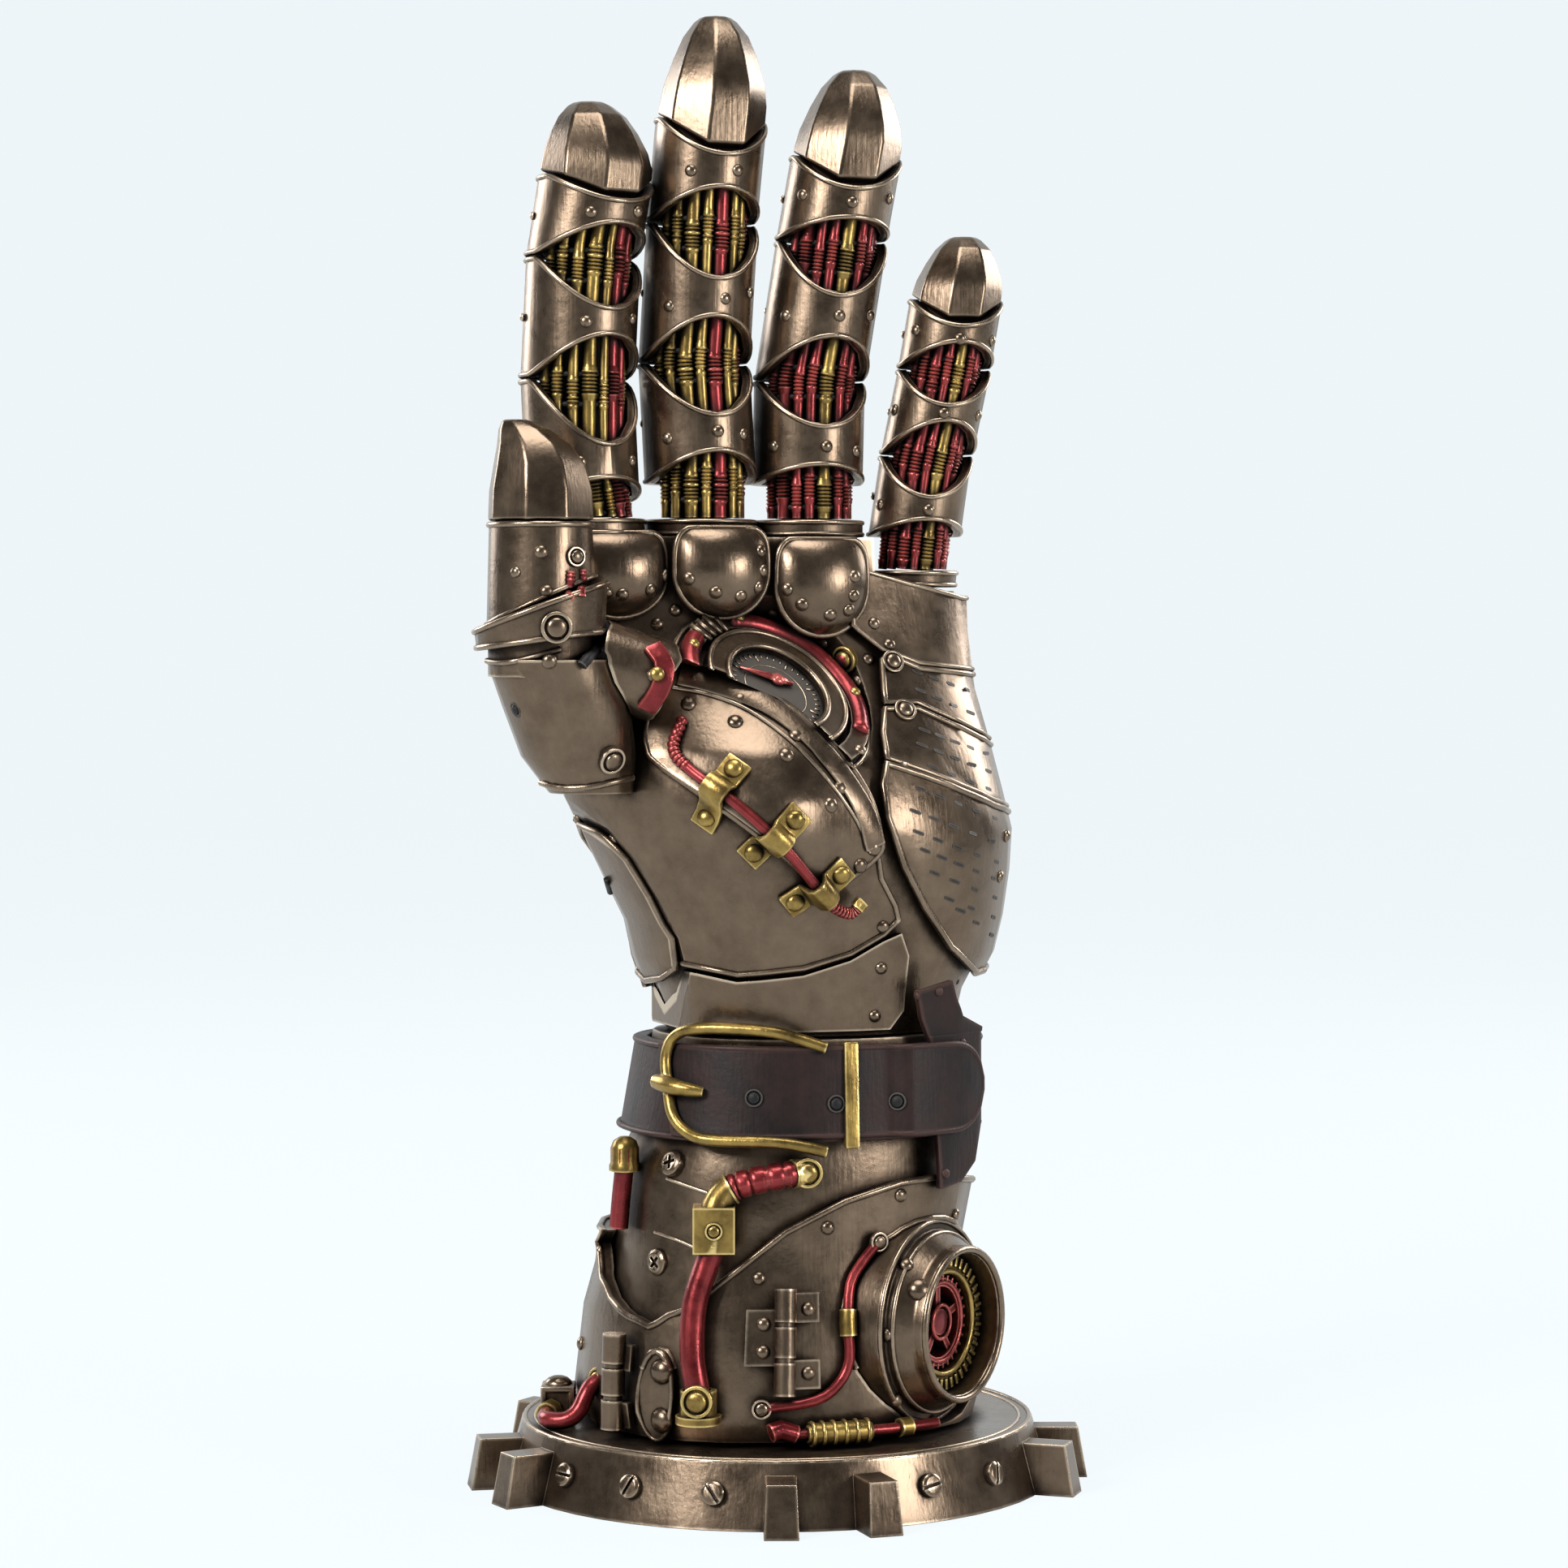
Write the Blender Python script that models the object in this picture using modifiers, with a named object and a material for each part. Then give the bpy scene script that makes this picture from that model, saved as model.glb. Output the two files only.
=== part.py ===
# Steampunk gauntlet sculpture on a cog base.
# Z is up, the underside of the cog lies on Z = 0 and the palm looks towards -Y, turned a little to +X.
import math

import bmesh
import bpy
from mathutils import Matrix, Vector

mm = 0.001

# Clearances
seat_gap = 0.3 * mm
rim_gap = 0.5 * mm

# Cog base
base_height = 12.5 * mm
base_foot_radius = 54.0 * mm
base_top_radius = 50.5 * mm
tooth_reach = 61.5 * mm
tooth_width = 6.6 * mm
tooth_height = 10.0 * mm
tooth_lean = 1.8 * mm
tooth_angles = (0.9, 19.5, 72.0, 91.0, 150.0, 169.0, 221.0, 240.0, 281.5, 300.0)
base_screw_radius = 2.0 * mm
base_screw_rise = 1.0 * mm
base_screw_height = 6.8 * mm
base_screw_angles = (-50.0, -31.5, -13.0, 33.5, 52.0, 110.0, 130.0, 190.0, 206.0)

# Forearm and hand, both measured in the palm's own frame
palm_turn = math.radians(20.0)
forearm_foot = base_height + seat_gap
wrist_height = 89.5 * mm
heel_height = wrist_height + 6.5 * mm
forearm_width = 74.0 * mm
forearm_depth = 64.0 * mm
hand_width = 94.0 * mm
hand_height = 90.0 * mm
hand_depth = 30.0 * mm
hand_top = heel_height + hand_height
little_drop = 9.8 * mm
beyond = 90.0 * mm
thenar_rise = 9.0 * mm
edge_rise = 5.0 * mm
section_power = 2.3
section_points = 24

# Plates
plate_wall = 2.5 * mm
raised_wall = 2.3 * mm
palm_side_depth = 8.0 * mm

# Lower cuff
cuff_wall = 2.5 * mm
cuff_ease = 0.6 * mm
cuff_foot_lift = 0.6 * mm
cuff_swell_height = 18.9 * mm
cuff_waist = 27.0 * mm

# Gear port
port_angle = math.radians(57.0)
port_height = 34.0 * mm
port_face = 43.0 * mm
port_flange_radius = 19.8 * mm
port_flange_seat = 28.0 * mm
port_flange_face = 36.0 * mm
port_cone_radius = 17.6 * mm
port_lip_radius = 15.2 * mm
port_bore_radius = 13.6 * mm
port_bore_floor = 34.5 * mm
port_ring_hole = 9.6 * mm
port_ring_wall = 4.0 * mm
port_wheel_radius = 8.6 * mm
port_wheel_hub = 2.6 * mm
port_wheel_wall = 3.0 * mm
port_wheel_rim = 1.7 * mm
port_spokes = 5
port_spoke_width = 1.5 * mm
port_teeth = 20

# Hinges
leaf_wall = 1.6 * mm

# Wrist belt
belt_top = wrist_height - 1.5 * mm
belt_foot = belt_top - 18.0 * mm
belt_wall = 2.4 * mm
belt_ease = 0.8 * mm
tab_wall = 2.0 * mm
buckle_bar = 1.0 * mm
keeper_width = 2.8 * mm

# Pipes
big_pipe_radius = 2.5 * mm
left_pipe_radius = 2.0 * mm
small_pipe_radius = 1.05 * mm
capsule_radius = 2.2 * mm
capsule_length = 13.0 * mm
foot_pipe_height = base_height + seat_gap + 2.6 * mm

# Palm dial
dial_centre = (-0.20, 0.66)
dial_rise = 1.2 * mm
dial_tilt = math.radians(44.0)
dial_swing = math.radians(20.0)
dial_frame_radius = 21.6 * mm
dial_frame_wall = 2.4 * mm
dial_ring_radius = 15.0 * mm
dial_ring_rise = 2.6 * mm
dial_glass_radius = 10.4 * mm
dial_arc_inner = 16.4 * mm
dial_arc_outer = 20.2 * mm
dial_arc_rise = 1.8 * mm

# Fingers
band_wall = 1.6 * mm
band_points = 16
tube_lobes = 8
finger_ease = 0.75 * mm
collar_height = 3.4 * mm

# Thumb
thumb_radius = 12.2 * mm
thumb_wall = 1.9 * mm
thumb_sleeve_foot = heel_height + 41.0 * mm
thumb_sleeve_top = thumb_sleeve_foot + 26.0 * mm
thumb_tip_height = thumb_sleeve_foot + 70.6 * mm
root_radius = 8.0 * mm

bronze = ("cast_bronze", (0.30, 0.25, 0.20), 0.38, 1.0)
gold = ("antique_gold", (0.55, 0.40, 0.19), 0.36, 1.0)
red = ("antique_red", (0.38, 0.06, 0.05), 0.38, 1.0)
leather = ("dark_leather", (0.045, 0.035, 0.032), 0.6, 0.0)
glass = ("dial_glass", (0.03, 0.03, 0.035), 0.12, 0.0)

# Sections of forearm and hand
# Forearm rows: height as a share of the way from its foot to the wrist; left, right as shares of
# half the forearm's width; front, back as shares of half its depth.
forearm_rows = (
    (0.00, 0.95, 0.95, 1.00, 1.00),
    (0.08, 0.99, 0.99, 1.05, 1.05),
    (0.29, 0.94, 0.94, 1.00, 1.00),
    (0.43, 0.86, 0.88, 0.93, 0.92),
    (0.54, 0.85, 0.93, 0.93, 0.89),
    (0.67, 0.84, 0.99, 0.92, 0.83),
    (0.77, 0.74, 1.00, 0.87, 0.78),
    (1.00, 0.66, 1.01, 0.83, 0.70),
)
# Hand rows: height above the heel as a share of the hand's height; left, right as shares of half
# the hand's width; front, back as shares of the hand's depth.
hand_rows = (
    (-0.067, 0.52, 0.81, 0.86, 0.75),
    (0.01, 0.56, 0.85, 0.86, 0.73),
    (0.09, 0.62, 0.94, 0.87, 0.70),
    (0.17, 0.66, 0.98, 0.88, 0.67),
    (0.27, 0.76, 1.01, 0.90, 0.63),
    (0.36, 0.85, 1.02, 0.93, 0.60),
    (0.44, 0.93, 0.98, 0.93, 0.58),
    (0.54, 0.96, 0.93, 0.88, 0.57),
    (0.67, 0.98, 0.87, 0.68, 0.55),
    (0.80, 1.00, 0.85, 0.52, 0.53),
    (0.91, 1.02, 0.85, 0.44, 0.50),
    (1.00, 1.02, 0.85, 0.42, 0.47),
)
# Swellings of the palm: across, up, spread across, spread up, all in the hand rows' shares.
thenar_swell = (-0.34, 0.36, 0.45, 0.22)
edge_swell = (0.57, 0.32, 0.32, 0.26)

# Outlines of the palm's plates: across as a share of half the hand's width, height above the heel
# as a share of the hand's height.
plate_outlines = {
    "wrist_collar": (
        (-0.50, -0.06), (0.30, -0.06), (0.36, -0.02), (0.37, 0.10), (0.33, 0.15), (0.25, 0.133),
        (0.11, 0.093), (-0.09, 0.063), (-0.34, 0.049), (-0.50, 0.068),
    ),
    "thenar_lower": (
        (-0.52, 0.086), (-0.34, 0.065), (-0.09, 0.079), (0.11, 0.109), (0.25, 0.149), (0.31, 0.18),
        (0.29, 0.21), (0.22, 0.27), (0.17, 0.38), (0.04, 0.54), (-0.21, 0.68), (-0.60, 0.74),
        (-1.20, 0.74), (-1.20, 0.45), (-1.00, 0.425), (-0.91, 0.415), (-0.82, 0.375),
        (-0.73, 0.31), (-0.64, 0.23), (-0.55, 0.14),
    ),
    "side_plate": (
        (-0.54, 0.075), (-0.565, 0.14), (-0.655, 0.23), (-0.745, 0.31), (-0.835, 0.365),
        (-0.925, 0.402), (-1.00, 0.412), (-1.20, 0.435), (-1.20, 0.06), (-0.80, 0.05),
        (-0.68, 0.02), (-0.60, 0.02),
    ),
    "hypothenar_upper": (
        (0.335, 0.735), (0.36, 0.745), (0.51, 0.715), (0.85, 0.70), (1.20, 0.70), (1.20, 0.52),
        (0.87, 0.563), (0.635, 0.607), (0.46, 0.643), (0.315, 0.643),
    ),
    "hypothenar_middle": (
        (0.305, 0.63), (0.457, 0.63), (0.63, 0.594), (0.865, 0.55), (1.20, 0.507), (1.20, 0.38),
        (0.93, 0.415), (0.81, 0.43), (0.60, 0.467), (0.434, 0.498), (0.265, 0.527), (0.27, 0.58),
    ),
    "hypothenar_lower": (
        (0.26, 0.514), (0.434, 0.486), (0.60, 0.455), (0.81, 0.418), (0.93, 0.403), (1.20, 0.368),
        (1.20, 0.055), (0.95, 0.058), (0.745, 0.05), (0.566, 0.115), (0.425, 0.205), (0.32, 0.295),
        (0.24, 0.40), (0.235, 0.47),
    ),
    "little_knuckle_plate": (
        (0.235, 0.935), (0.22, 0.81), (0.345, 0.757), (0.51, 0.727), (0.85, 0.712), (1.20, 0.712),
        (1.20, 0.86), (0.78, 0.87), (0.50, 0.90),
    ),
}
thenar_upper_outline = (
    (-0.61, 0.74), (-0.436, 0.707), (-0.20, 0.656), (-0.074, 0.602), (0.04, 0.533), (0.136, 0.453),
    (0.183, 0.369), (0.174, 0.32), (-0.04, 0.251), (-0.17, 0.294), (-0.66, 0.50), (-0.734, 0.556),
    (-0.713, 0.622), (-0.66, 0.71),
)
back_outline = ((-1.20, 0.02), (1.20, 0.02), (1.20, 0.86), (0.35, 0.86), (0.33, 0.96), (-1.20, 0.96))
little_step = (0.36, 0.885)

# Cuff rim: angle from the front towards +X in degrees, height as a share of the wrist height.
cuff_rim = (
    (-180, 0.56), (-90, 0.56), (-60, 0.55), (-53, 0.46), (-46, 0.41), (-38, 0.39), (-29, 0.41),
    (-21, 0.45), (-13, 0.49), (-4, 0.55), (10, 0.62), (24, 0.67), (42, 0.70), (90, 0.66), (180, 0.56),
)

# Leather tab on the right of the belt: across as a share of half the forearm's width, height as a
# share of the wrist height.
tab_outline = (
    (0.47, 1.10), (0.68, 1.12), (0.72, 1.08), (0.77, 1.04), (0.93, 1.01), (0.93, 0.80), (0.86, 0.72),
    (0.76, 0.68), (0.60, 0.67), (0.59, 0.79), (0.57, 0.98), (0.50, 1.04),
)

# Fingers
# foot: place across the palm as a share of half the hand's width
# rise: foot height; facing: turn of the front from -Y towards +X; radius: outer radius of the bands
# levels: heights above the foot: front edge and side edge of the lower band's foot, lower band's
# front top, first pivot, middle band's front foot and top, second pivot, upper band's front foot
# and top, upper band's side top, claw top
# lean: sideways lean at even steps of the length, as shares of the radius
fingers = {
    "index": dict(
        foot=-0.825, rise=hand_top, facing=36.0, radius=11.3 * mm,
        levels=(11.0, 7.0, 18.0, 30.5, 38.5, 44.0, 54.0, 59.8, 64.5, 69.5, 84.0),
        lean=(0.0, -0.19, -0.19, -0.16, -0.07, 0.14, 0.09),
    ),
    "middle": dict(
        foot=-0.34, rise=hand_top, facing=22.0, radius=10.9 * mm,
        levels=(16.5, 10.5, 24.0, 34.0, 42.5, 50.3, 61.3, 67.3, 74.2, 81.5, 101.5),
        lean=(0.0, 0.0, -0.11, 0.0, 0.06, 0.24, 0.33),
    ),
    "ring": dict(
        foot=0.135, rise=hand_top, facing=18.0, radius=11.0 * mm,
        levels=(14.0, 10.5, 22.0, 31.0, 39.0, 47.5, 58.5, 62.0, 68.3, 75.0, 92.0),
        lean=(0.0, 0.0, 0.04, 0.29, 0.47, 0.73, 0.89),
    ),
    "little": dict(
        foot=0.595, rise=hand_top - little_drop, facing=14.0, radius=9.3 * mm,
        levels=(13.3, 10.3, 18.3, 26.5, 32.8, 36.4, 43.6, 48.3, 52.0, 57.3, 69.8),
        lean=(0.0, 0.13, 0.30, 0.58, 0.81, 1.02, 1.20),
    ),
}
# Claw: height above the side rim as a share of what is left to the tip, radius and backward lean as
# shares of the finger's radius.
claw_rows = ((0.0, 0.92, 0.0), (0.35, 0.81, 0.0), (0.72, 0.63, 0.04), (0.93, 0.37, 0.12), (1.0, 0.29, 0.14))
claw_facets = (-22, 22, 68, 112, 158, 202, 248, 292)

# Knuckle pads: across and up in the hand rows' shares, half width, half height, rise
knuckle_pads = {
    "index_pad": (-0.77, 0.92, 9.6 * mm, 8.2 * mm, 8.5 * mm),
    "middle_pad": (-0.345, 0.925, 9.2 * mm, 8.6 * mm, 9.0 * mm),
    "ring_pad": (0.09, 0.895, 9.2 * mm, 9.4 * mm, 8.5 * mm),
}

# Thumb rows: height as a share of the way from sleeve foot to tip; across, outwards as shares of
# half the hand's width; radius as a share of the thumb's.
sleeve_rows = (
    (0.00, -0.93, 0.36, 0.66), (0.10, -0.99, 0.38, 0.90), (0.24, -1.05, 0.40, 1.0), (0.36, -1.12, 0.42, 1.0),
)
thumb_axis = (-1.16, 0.42)
root_outer = (-1.05, 0.42, thumb_sleeve_foot + 27.0 * mm)
root_inner = (-0.60, 0.50, thumb_sleeve_foot + 20.0 * mm)
thumb_claw_rows = (
    (0.00, 0.00, 0.85), (0.30, 0.00, 0.83), (0.55, -0.02, 0.74), (0.75, -0.10, 0.60), (0.90, -0.25, 0.42),
    (1.00, -0.40, 0.20),
)


def start_scene():
    for item in list(bpy.data.objects):
        bpy.data.objects.remove(item, do_unlink=True)
    for name in ("steampunk_gauntlet", "cutters"):
        bpy.context.scene.collection.children.link(bpy.data.collections.new(name))


def material(look):
    name, colour, roughness, metallic = look
    found = bpy.data.materials.get(name)
    if found:
        return found
    made = bpy.data.materials.new(name)
    made.use_nodes = True
    shader = made.node_tree.nodes["Principled BSDF"]
    shader.inputs["Base Color"].default_value = (*colour, 1.0)
    shader.inputs["Roughness"].default_value = roughness
    shader.inputs["Metallic"].default_value = metallic
    return made


def add_mesh(name, mesh, look=None):
    """Link a mesh as a part, or as a cutter when it has no look."""
    made = bpy.data.objects.new(name, mesh)
    if look:
        mesh.materials.clear()
        mesh.materials.append(material(look))
        bpy.data.collections["steampunk_gauntlet"].objects.link(made)
    else:
        bpy.data.collections["cutters"].objects.link(made)
        made.hide_render = True
        made.display_type = "WIRE"
    return made


def carve(target, tool, operation="DIFFERENCE", solver="EXACT"):
    step = target.modifiers.new(tool.name, "BOOLEAN")
    step.operation = operation
    step.solver = solver
    step.object = tool
    return target


def carve_shell(target, tool, operation="DIFFERENCE"):
    """Cut for the palm's thin shells and the dial, on which EXACT leaves open edges."""
    return carve(target, tool, operation, "MANIFOLD")


def loft(name, rings, look=None):
    """Closed solid through rings of equally many points, with flat ends.

    Every side is split along the same diagonal, so that nested skins don't cross.
    """
    form = bmesh.new()
    rows = [[form.verts.new(point) for point in ring] for ring in rings]
    count = len(rows[0])
    for low, high in zip(rows, rows[1:]):
        for i in range(count):
            j = (i + 1) % count
            form.faces.new((low[i], low[j], high[j], high[i]))
    bmesh.ops.triangulate(form, faces=form.faces[:], quad_method="FIXED")
    form.faces.new(reversed(rows[0]))
    form.faces.new(rows[-1])
    bmesh.ops.recalc_face_normals(form, faces=form.faces)
    mesh = bpy.data.meshes.new(name)
    form.to_mesh(mesh)
    form.free()
    return add_mesh(name, mesh, look)


def wall_ring(name, outer_rows, inner_rows, look=None):
    """Closed ring between an outer and an inner skin, both given from the bottom up."""
    form = bmesh.new()
    skins = list(outer_rows) + list(reversed(inner_rows))
    rows = [[form.verts.new(point) for point in ring] for ring in skins]
    count = len(rows[0])
    for k, low in enumerate(rows):
        high = rows[(k + 1) % len(rows)]
        for i in range(count):
            j = (i + 1) % count
            form.faces.new((low[i], low[j], high[j], high[i]))
    bmesh.ops.recalc_face_normals(form, faces=form.faces)
    mesh = bpy.data.meshes.new(name)
    form.to_mesh(mesh)
    form.free()
    return add_mesh(name, mesh, look)


def baked(source, name, look=None):
    """Turn a curve or an object with modifiers into a plain mesh object and drop the source."""
    bpy.context.view_layer.update()
    shown = source.evaluated_get(bpy.context.evaluated_depsgraph_get())
    mesh = bpy.data.meshes.new_from_object(shown)
    mesh.transform(source.matrix_world)
    form = bmesh.new()
    form.from_mesh(mesh)
    bmesh.ops.remove_doubles(form, verts=form.verts, dist=0.00001)
    bmesh.ops.recalc_face_normals(form, faces=form.faces)
    form.to_mesh(mesh)
    form.free()
    bpy.data.objects.remove(source, do_unlink=True)
    return add_mesh(name, mesh, look)


def tube(name, points, radius, look=None):
    curve = bpy.data.curves.new(name + "_line", "CURVE")
    curve.dimensions = "3D"
    line = curve.splines.new("POLY")
    line.points.add(len(points) - 1)
    for spot, point in zip(line.points, points):
        spot.co = (*point, 1.0)
    curve.bevel_depth = radius
    curve.bevel_resolution = 2
    curve.use_fill_caps = True
    source = bpy.data.objects.new(name + "_line", curve)
    bpy.context.scene.collection.objects.link(source)
    return baked(source, name, look)


def prism(name, outline, near, far):
    """Outline in the palm's frame, cut out along the way that the palm faces."""
    curve = bpy.data.curves.new(name + "_outline", "CURVE")
    curve.dimensions = "2D"
    curve.fill_mode = "BOTH"
    line = curve.splines.new("POLY")
    line.points.add(len(outline) - 1)
    for spot, (across, up) in zip(line.points, outline):
        spot.co = (across, up, 0.0, 1.0)
    line.use_cyclic_u = True
    curve.extrude = (far - near) / 2
    source = bpy.data.objects.new(name + "_outline", curve)
    bpy.context.scene.collection.objects.link(source)
    source.matrix_world = palm_frame() @ Matrix.Translation((0, 0, (far + near) / 2))
    return baked(source, name)


def turned(name, profile, place, look=None, steps=32):
    """Turn a profile of (radius, height) pairs, listed from the top down its outer side."""
    mesh = bpy.data.meshes.new(name + "_profile")
    spots = [(radius, 0.0, height) for radius, height in profile]
    mesh.from_pydata(spots, [(i, i + 1) for i in range(len(spots) - 1)], [])
    source = bpy.data.objects.new(name + "_profile", mesh)
    bpy.context.scene.collection.objects.link(source)
    source.matrix_world = place
    spin = source.modifiers.new("turn", "SCREW")
    spin.steps = steps
    spin.render_steps = steps
    spin.use_merge_vertices = True
    spin.merge_threshold = 0.00001
    return baked(source, name, look)


def palm_frame():
    """Across, up and outwards from the palm as the columns of a matrix."""
    c = math.cos(palm_turn)
    s = math.sin(palm_turn)
    return Matrix(((c, 0, s, 0), (s, 0, -c, 0), (0, 1, 0, 0), (0, 0, 0, 1)))


def in_palm(across, up, out):
    return palm_frame() @ Vector((across, up, out))


def facing(angle):
    return Vector((math.sin(angle), -math.cos(angle), 0.0))


def aimed(point, direction):
    """Matrix that puts local Z along a direction at a point."""
    return Matrix.Translation(point) @ direction.to_track_quat("Z", "Y").to_matrix().to_4x4()


def blend(rows, height):
    """Read a table whose first column rises."""
    if height <= rows[0][0]:
        return rows[0][1:]
    for low, high in zip(rows, rows[1:]):
        if height <= high[0]:
            part = (height - low[0]) / (high[0] - low[0])
            return tuple(a + (b - a) * part for a, b in zip(low[1:], high[1:]))
    return rows[-1][1:]


def reach(height):
    """Left, right, front and back reach of the forearm or hand at a height."""
    if height < wrist_height:
        share = (height - forearm_foot) / (wrist_height - forearm_foot)
        left, right, front, back = blend(forearm_rows, share)
        wide = forearm_width / 2
        deep = forearm_depth / 2
        return left * wide, right * wide, front * deep, back * deep
    left, right, front, back = blend(hand_rows, (height - heel_height) / hand_height)
    return left * hand_width / 2, right * hand_width / 2, front * hand_depth, back * hand_depth


def swelling(across, height):
    """How far the palm swells outwards."""
    if height < wrist_height:
        return 0.0
    side = across / (hand_width / 2)
    up = (height - heel_height) / hand_height
    total = 0.0
    for rise, (mid, middle, wide, tall) in ((thenar_rise, thenar_swell), (edge_rise, edge_swell)):
        total += rise * math.exp(-(((side - mid) / wide) ** 2) - ((up - middle) / tall) ** 2)
    return total


def skin_point(height, turn, grow):
    """Point of the forearm's or hand's skin; turn is 0 at the right side and a quarter turn at the front."""
    left, right, front, back = reach(height)
    c = math.cos(turn)
    s = math.sin(turn)
    power = 2 / section_power
    half = (left + right) / 2 + grow
    across = (right - left) / 2 + math.copysign(abs(c) ** power, c) * half
    depth = (front if s > 0 else back) + grow
    out = math.copysign(abs(s) ** power, s) * depth
    if s > 0:
        out += swelling(across, height) * s
    return in_palm(across, height, out)


def skin_ring(height, grow, tops=None):
    ring = []
    for k in range(section_points):
        turn = 2 * math.pi * k / section_points
        ring.append(skin_point(height if tops is None else tops(turn), turn, grow))
    return ring


def around(angle, height, grow):
    """Skin point at an angle in degrees from -Y towards +X."""
    return skin_point(height, math.radians(90.0 - angle) + palm_turn, grow)


def on_front(across, height, grow):
    """Skin point straight in front of a place across the palm's frame."""
    left, right, front, back = reach(height)
    half = (left + right) / 2 + grow
    share = min(0.999, abs(across - (right - left) / 2) / half)
    depth = (front + grow) * (1 - share ** section_power) ** (1 / section_power)
    lift = (1 - share ** section_power) ** 0.5
    return in_palm(across, height, depth + swelling(across, height) * lift)


def body_form(name, heights, grow, look=None):
    return loft(name, [skin_ring(height, grow) for height in heights], look)


def hand_heights(low, high):
    inner = [heel_height + row[0] * hand_height for row in hand_rows]
    return [low] + [height for height in inner if low + mm < height < high - mm] + [high]


def forearm_heights(low, high):
    inner = [forearm_foot + row[0] * (wrist_height - forearm_foot) for row in forearm_rows]
    return [low] + [height for height in inner if low + mm < height < high - mm] + [high]


def hand_place(share):
    return share[0] * hand_width / 2, heel_height + share[1] * hand_height


def make_base():
    base = turned(
        "cog_base",
        [(0.0, base_height), (base_top_radius, base_height), (base_foot_radius, 0.0), (0.0, 0.0)],
        Matrix.Identity(4), bronze, 48,
    )
    inner = base_top_radius - 4 * mm
    for angle in tooth_angles:
        turn = Matrix.Rotation(math.radians(angle), 4, "Z")
        half = tooth_width / 2
        foot = [(-half, -tooth_reach), (half, -tooth_reach), (half, -inner), (-half, -inner)]
        head = [(x * 0.86, y + (tooth_lean if y < -inner else 0)) for x, y in foot]
        rings = [[turn @ Vector((x, y, z)) for x, y in row] for row, z in ((foot, 0.0), (head, tooth_height))]
        carve(base, loft("tooth_{:.0f}".format(angle), rings), "UNION")
    slope = math.atan2(base_foot_radius - base_top_radius, base_height)
    wall = base_foot_radius - base_screw_height * math.tan(slope)
    for angle in base_screw_angles:
        out = facing(math.radians(angle))
        lean = (out * math.cos(slope) + Vector((0, 0, math.sin(slope)))).normalized()
        place = aimed(out * wall + Vector((0, 0, base_screw_height)), lean)
        head = [(0.0, base_screw_rise), (base_screw_radius * 0.8, base_screw_rise),
                (base_screw_radius, base_screw_rise * 0.5), (base_screw_radius, -1.5 * mm), (0.0, -1.5 * mm)]
        carve(base, turned("base_screw_{:.0f}".format(angle), head, place, None, 10), "UNION")
    return base


def port_place():
    return aimed(Vector((0, 0, port_height)), facing(port_angle))


def port_pocket(name, radius):
    profile = [(0.0, 80 * mm), (radius, 80 * mm), (radius, port_flange_seat), (0.0, port_flange_seat)]
    return turned(name, profile, port_place(), None, 32)


def make_forearm():
    core = body_form("forearm_core", forearm_heights(forearm_foot, wrist_height - seat_gap), 0.0, bronze)
    pocket = port_pocket("port_pocket", port_flange_radius + seat_gap)
    carve(core, pocket)
    return core


def rim_height(turn):
    angle = 90.0 + math.degrees(palm_turn) - math.degrees(turn)
    angle = (angle + 180.0) % 360.0 - 180.0
    return blend(cuff_rim, angle)[0] * wrist_height


def make_cuff():
    foot = forearm_foot + cuff_foot_lift
    skins = []
    for grow in (cuff_ease + cuff_wall, cuff_ease):
        skins.append(cuff_rows(foot, 0.0, grow))
    cuff = wall_ring("lower_cuff", skins[0], skins[1], bronze)
    carve(cuff, bpy.data.objects["port_pocket"])
    return cuff


def cuff_rows(foot, lift, grow):
    """Rings of the cuff from its foot to the scalloped rim."""
    rows = [skin_ring(height, grow) for height in (foot, cuff_swell_height, cuff_waist)]
    for share in (0.35, 0.7, 1.0):
        rows.append(skin_ring(0, grow, lambda turn: cuff_waist + (rim_height(turn) + lift - cuff_waist) * share))
    return rows


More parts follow.
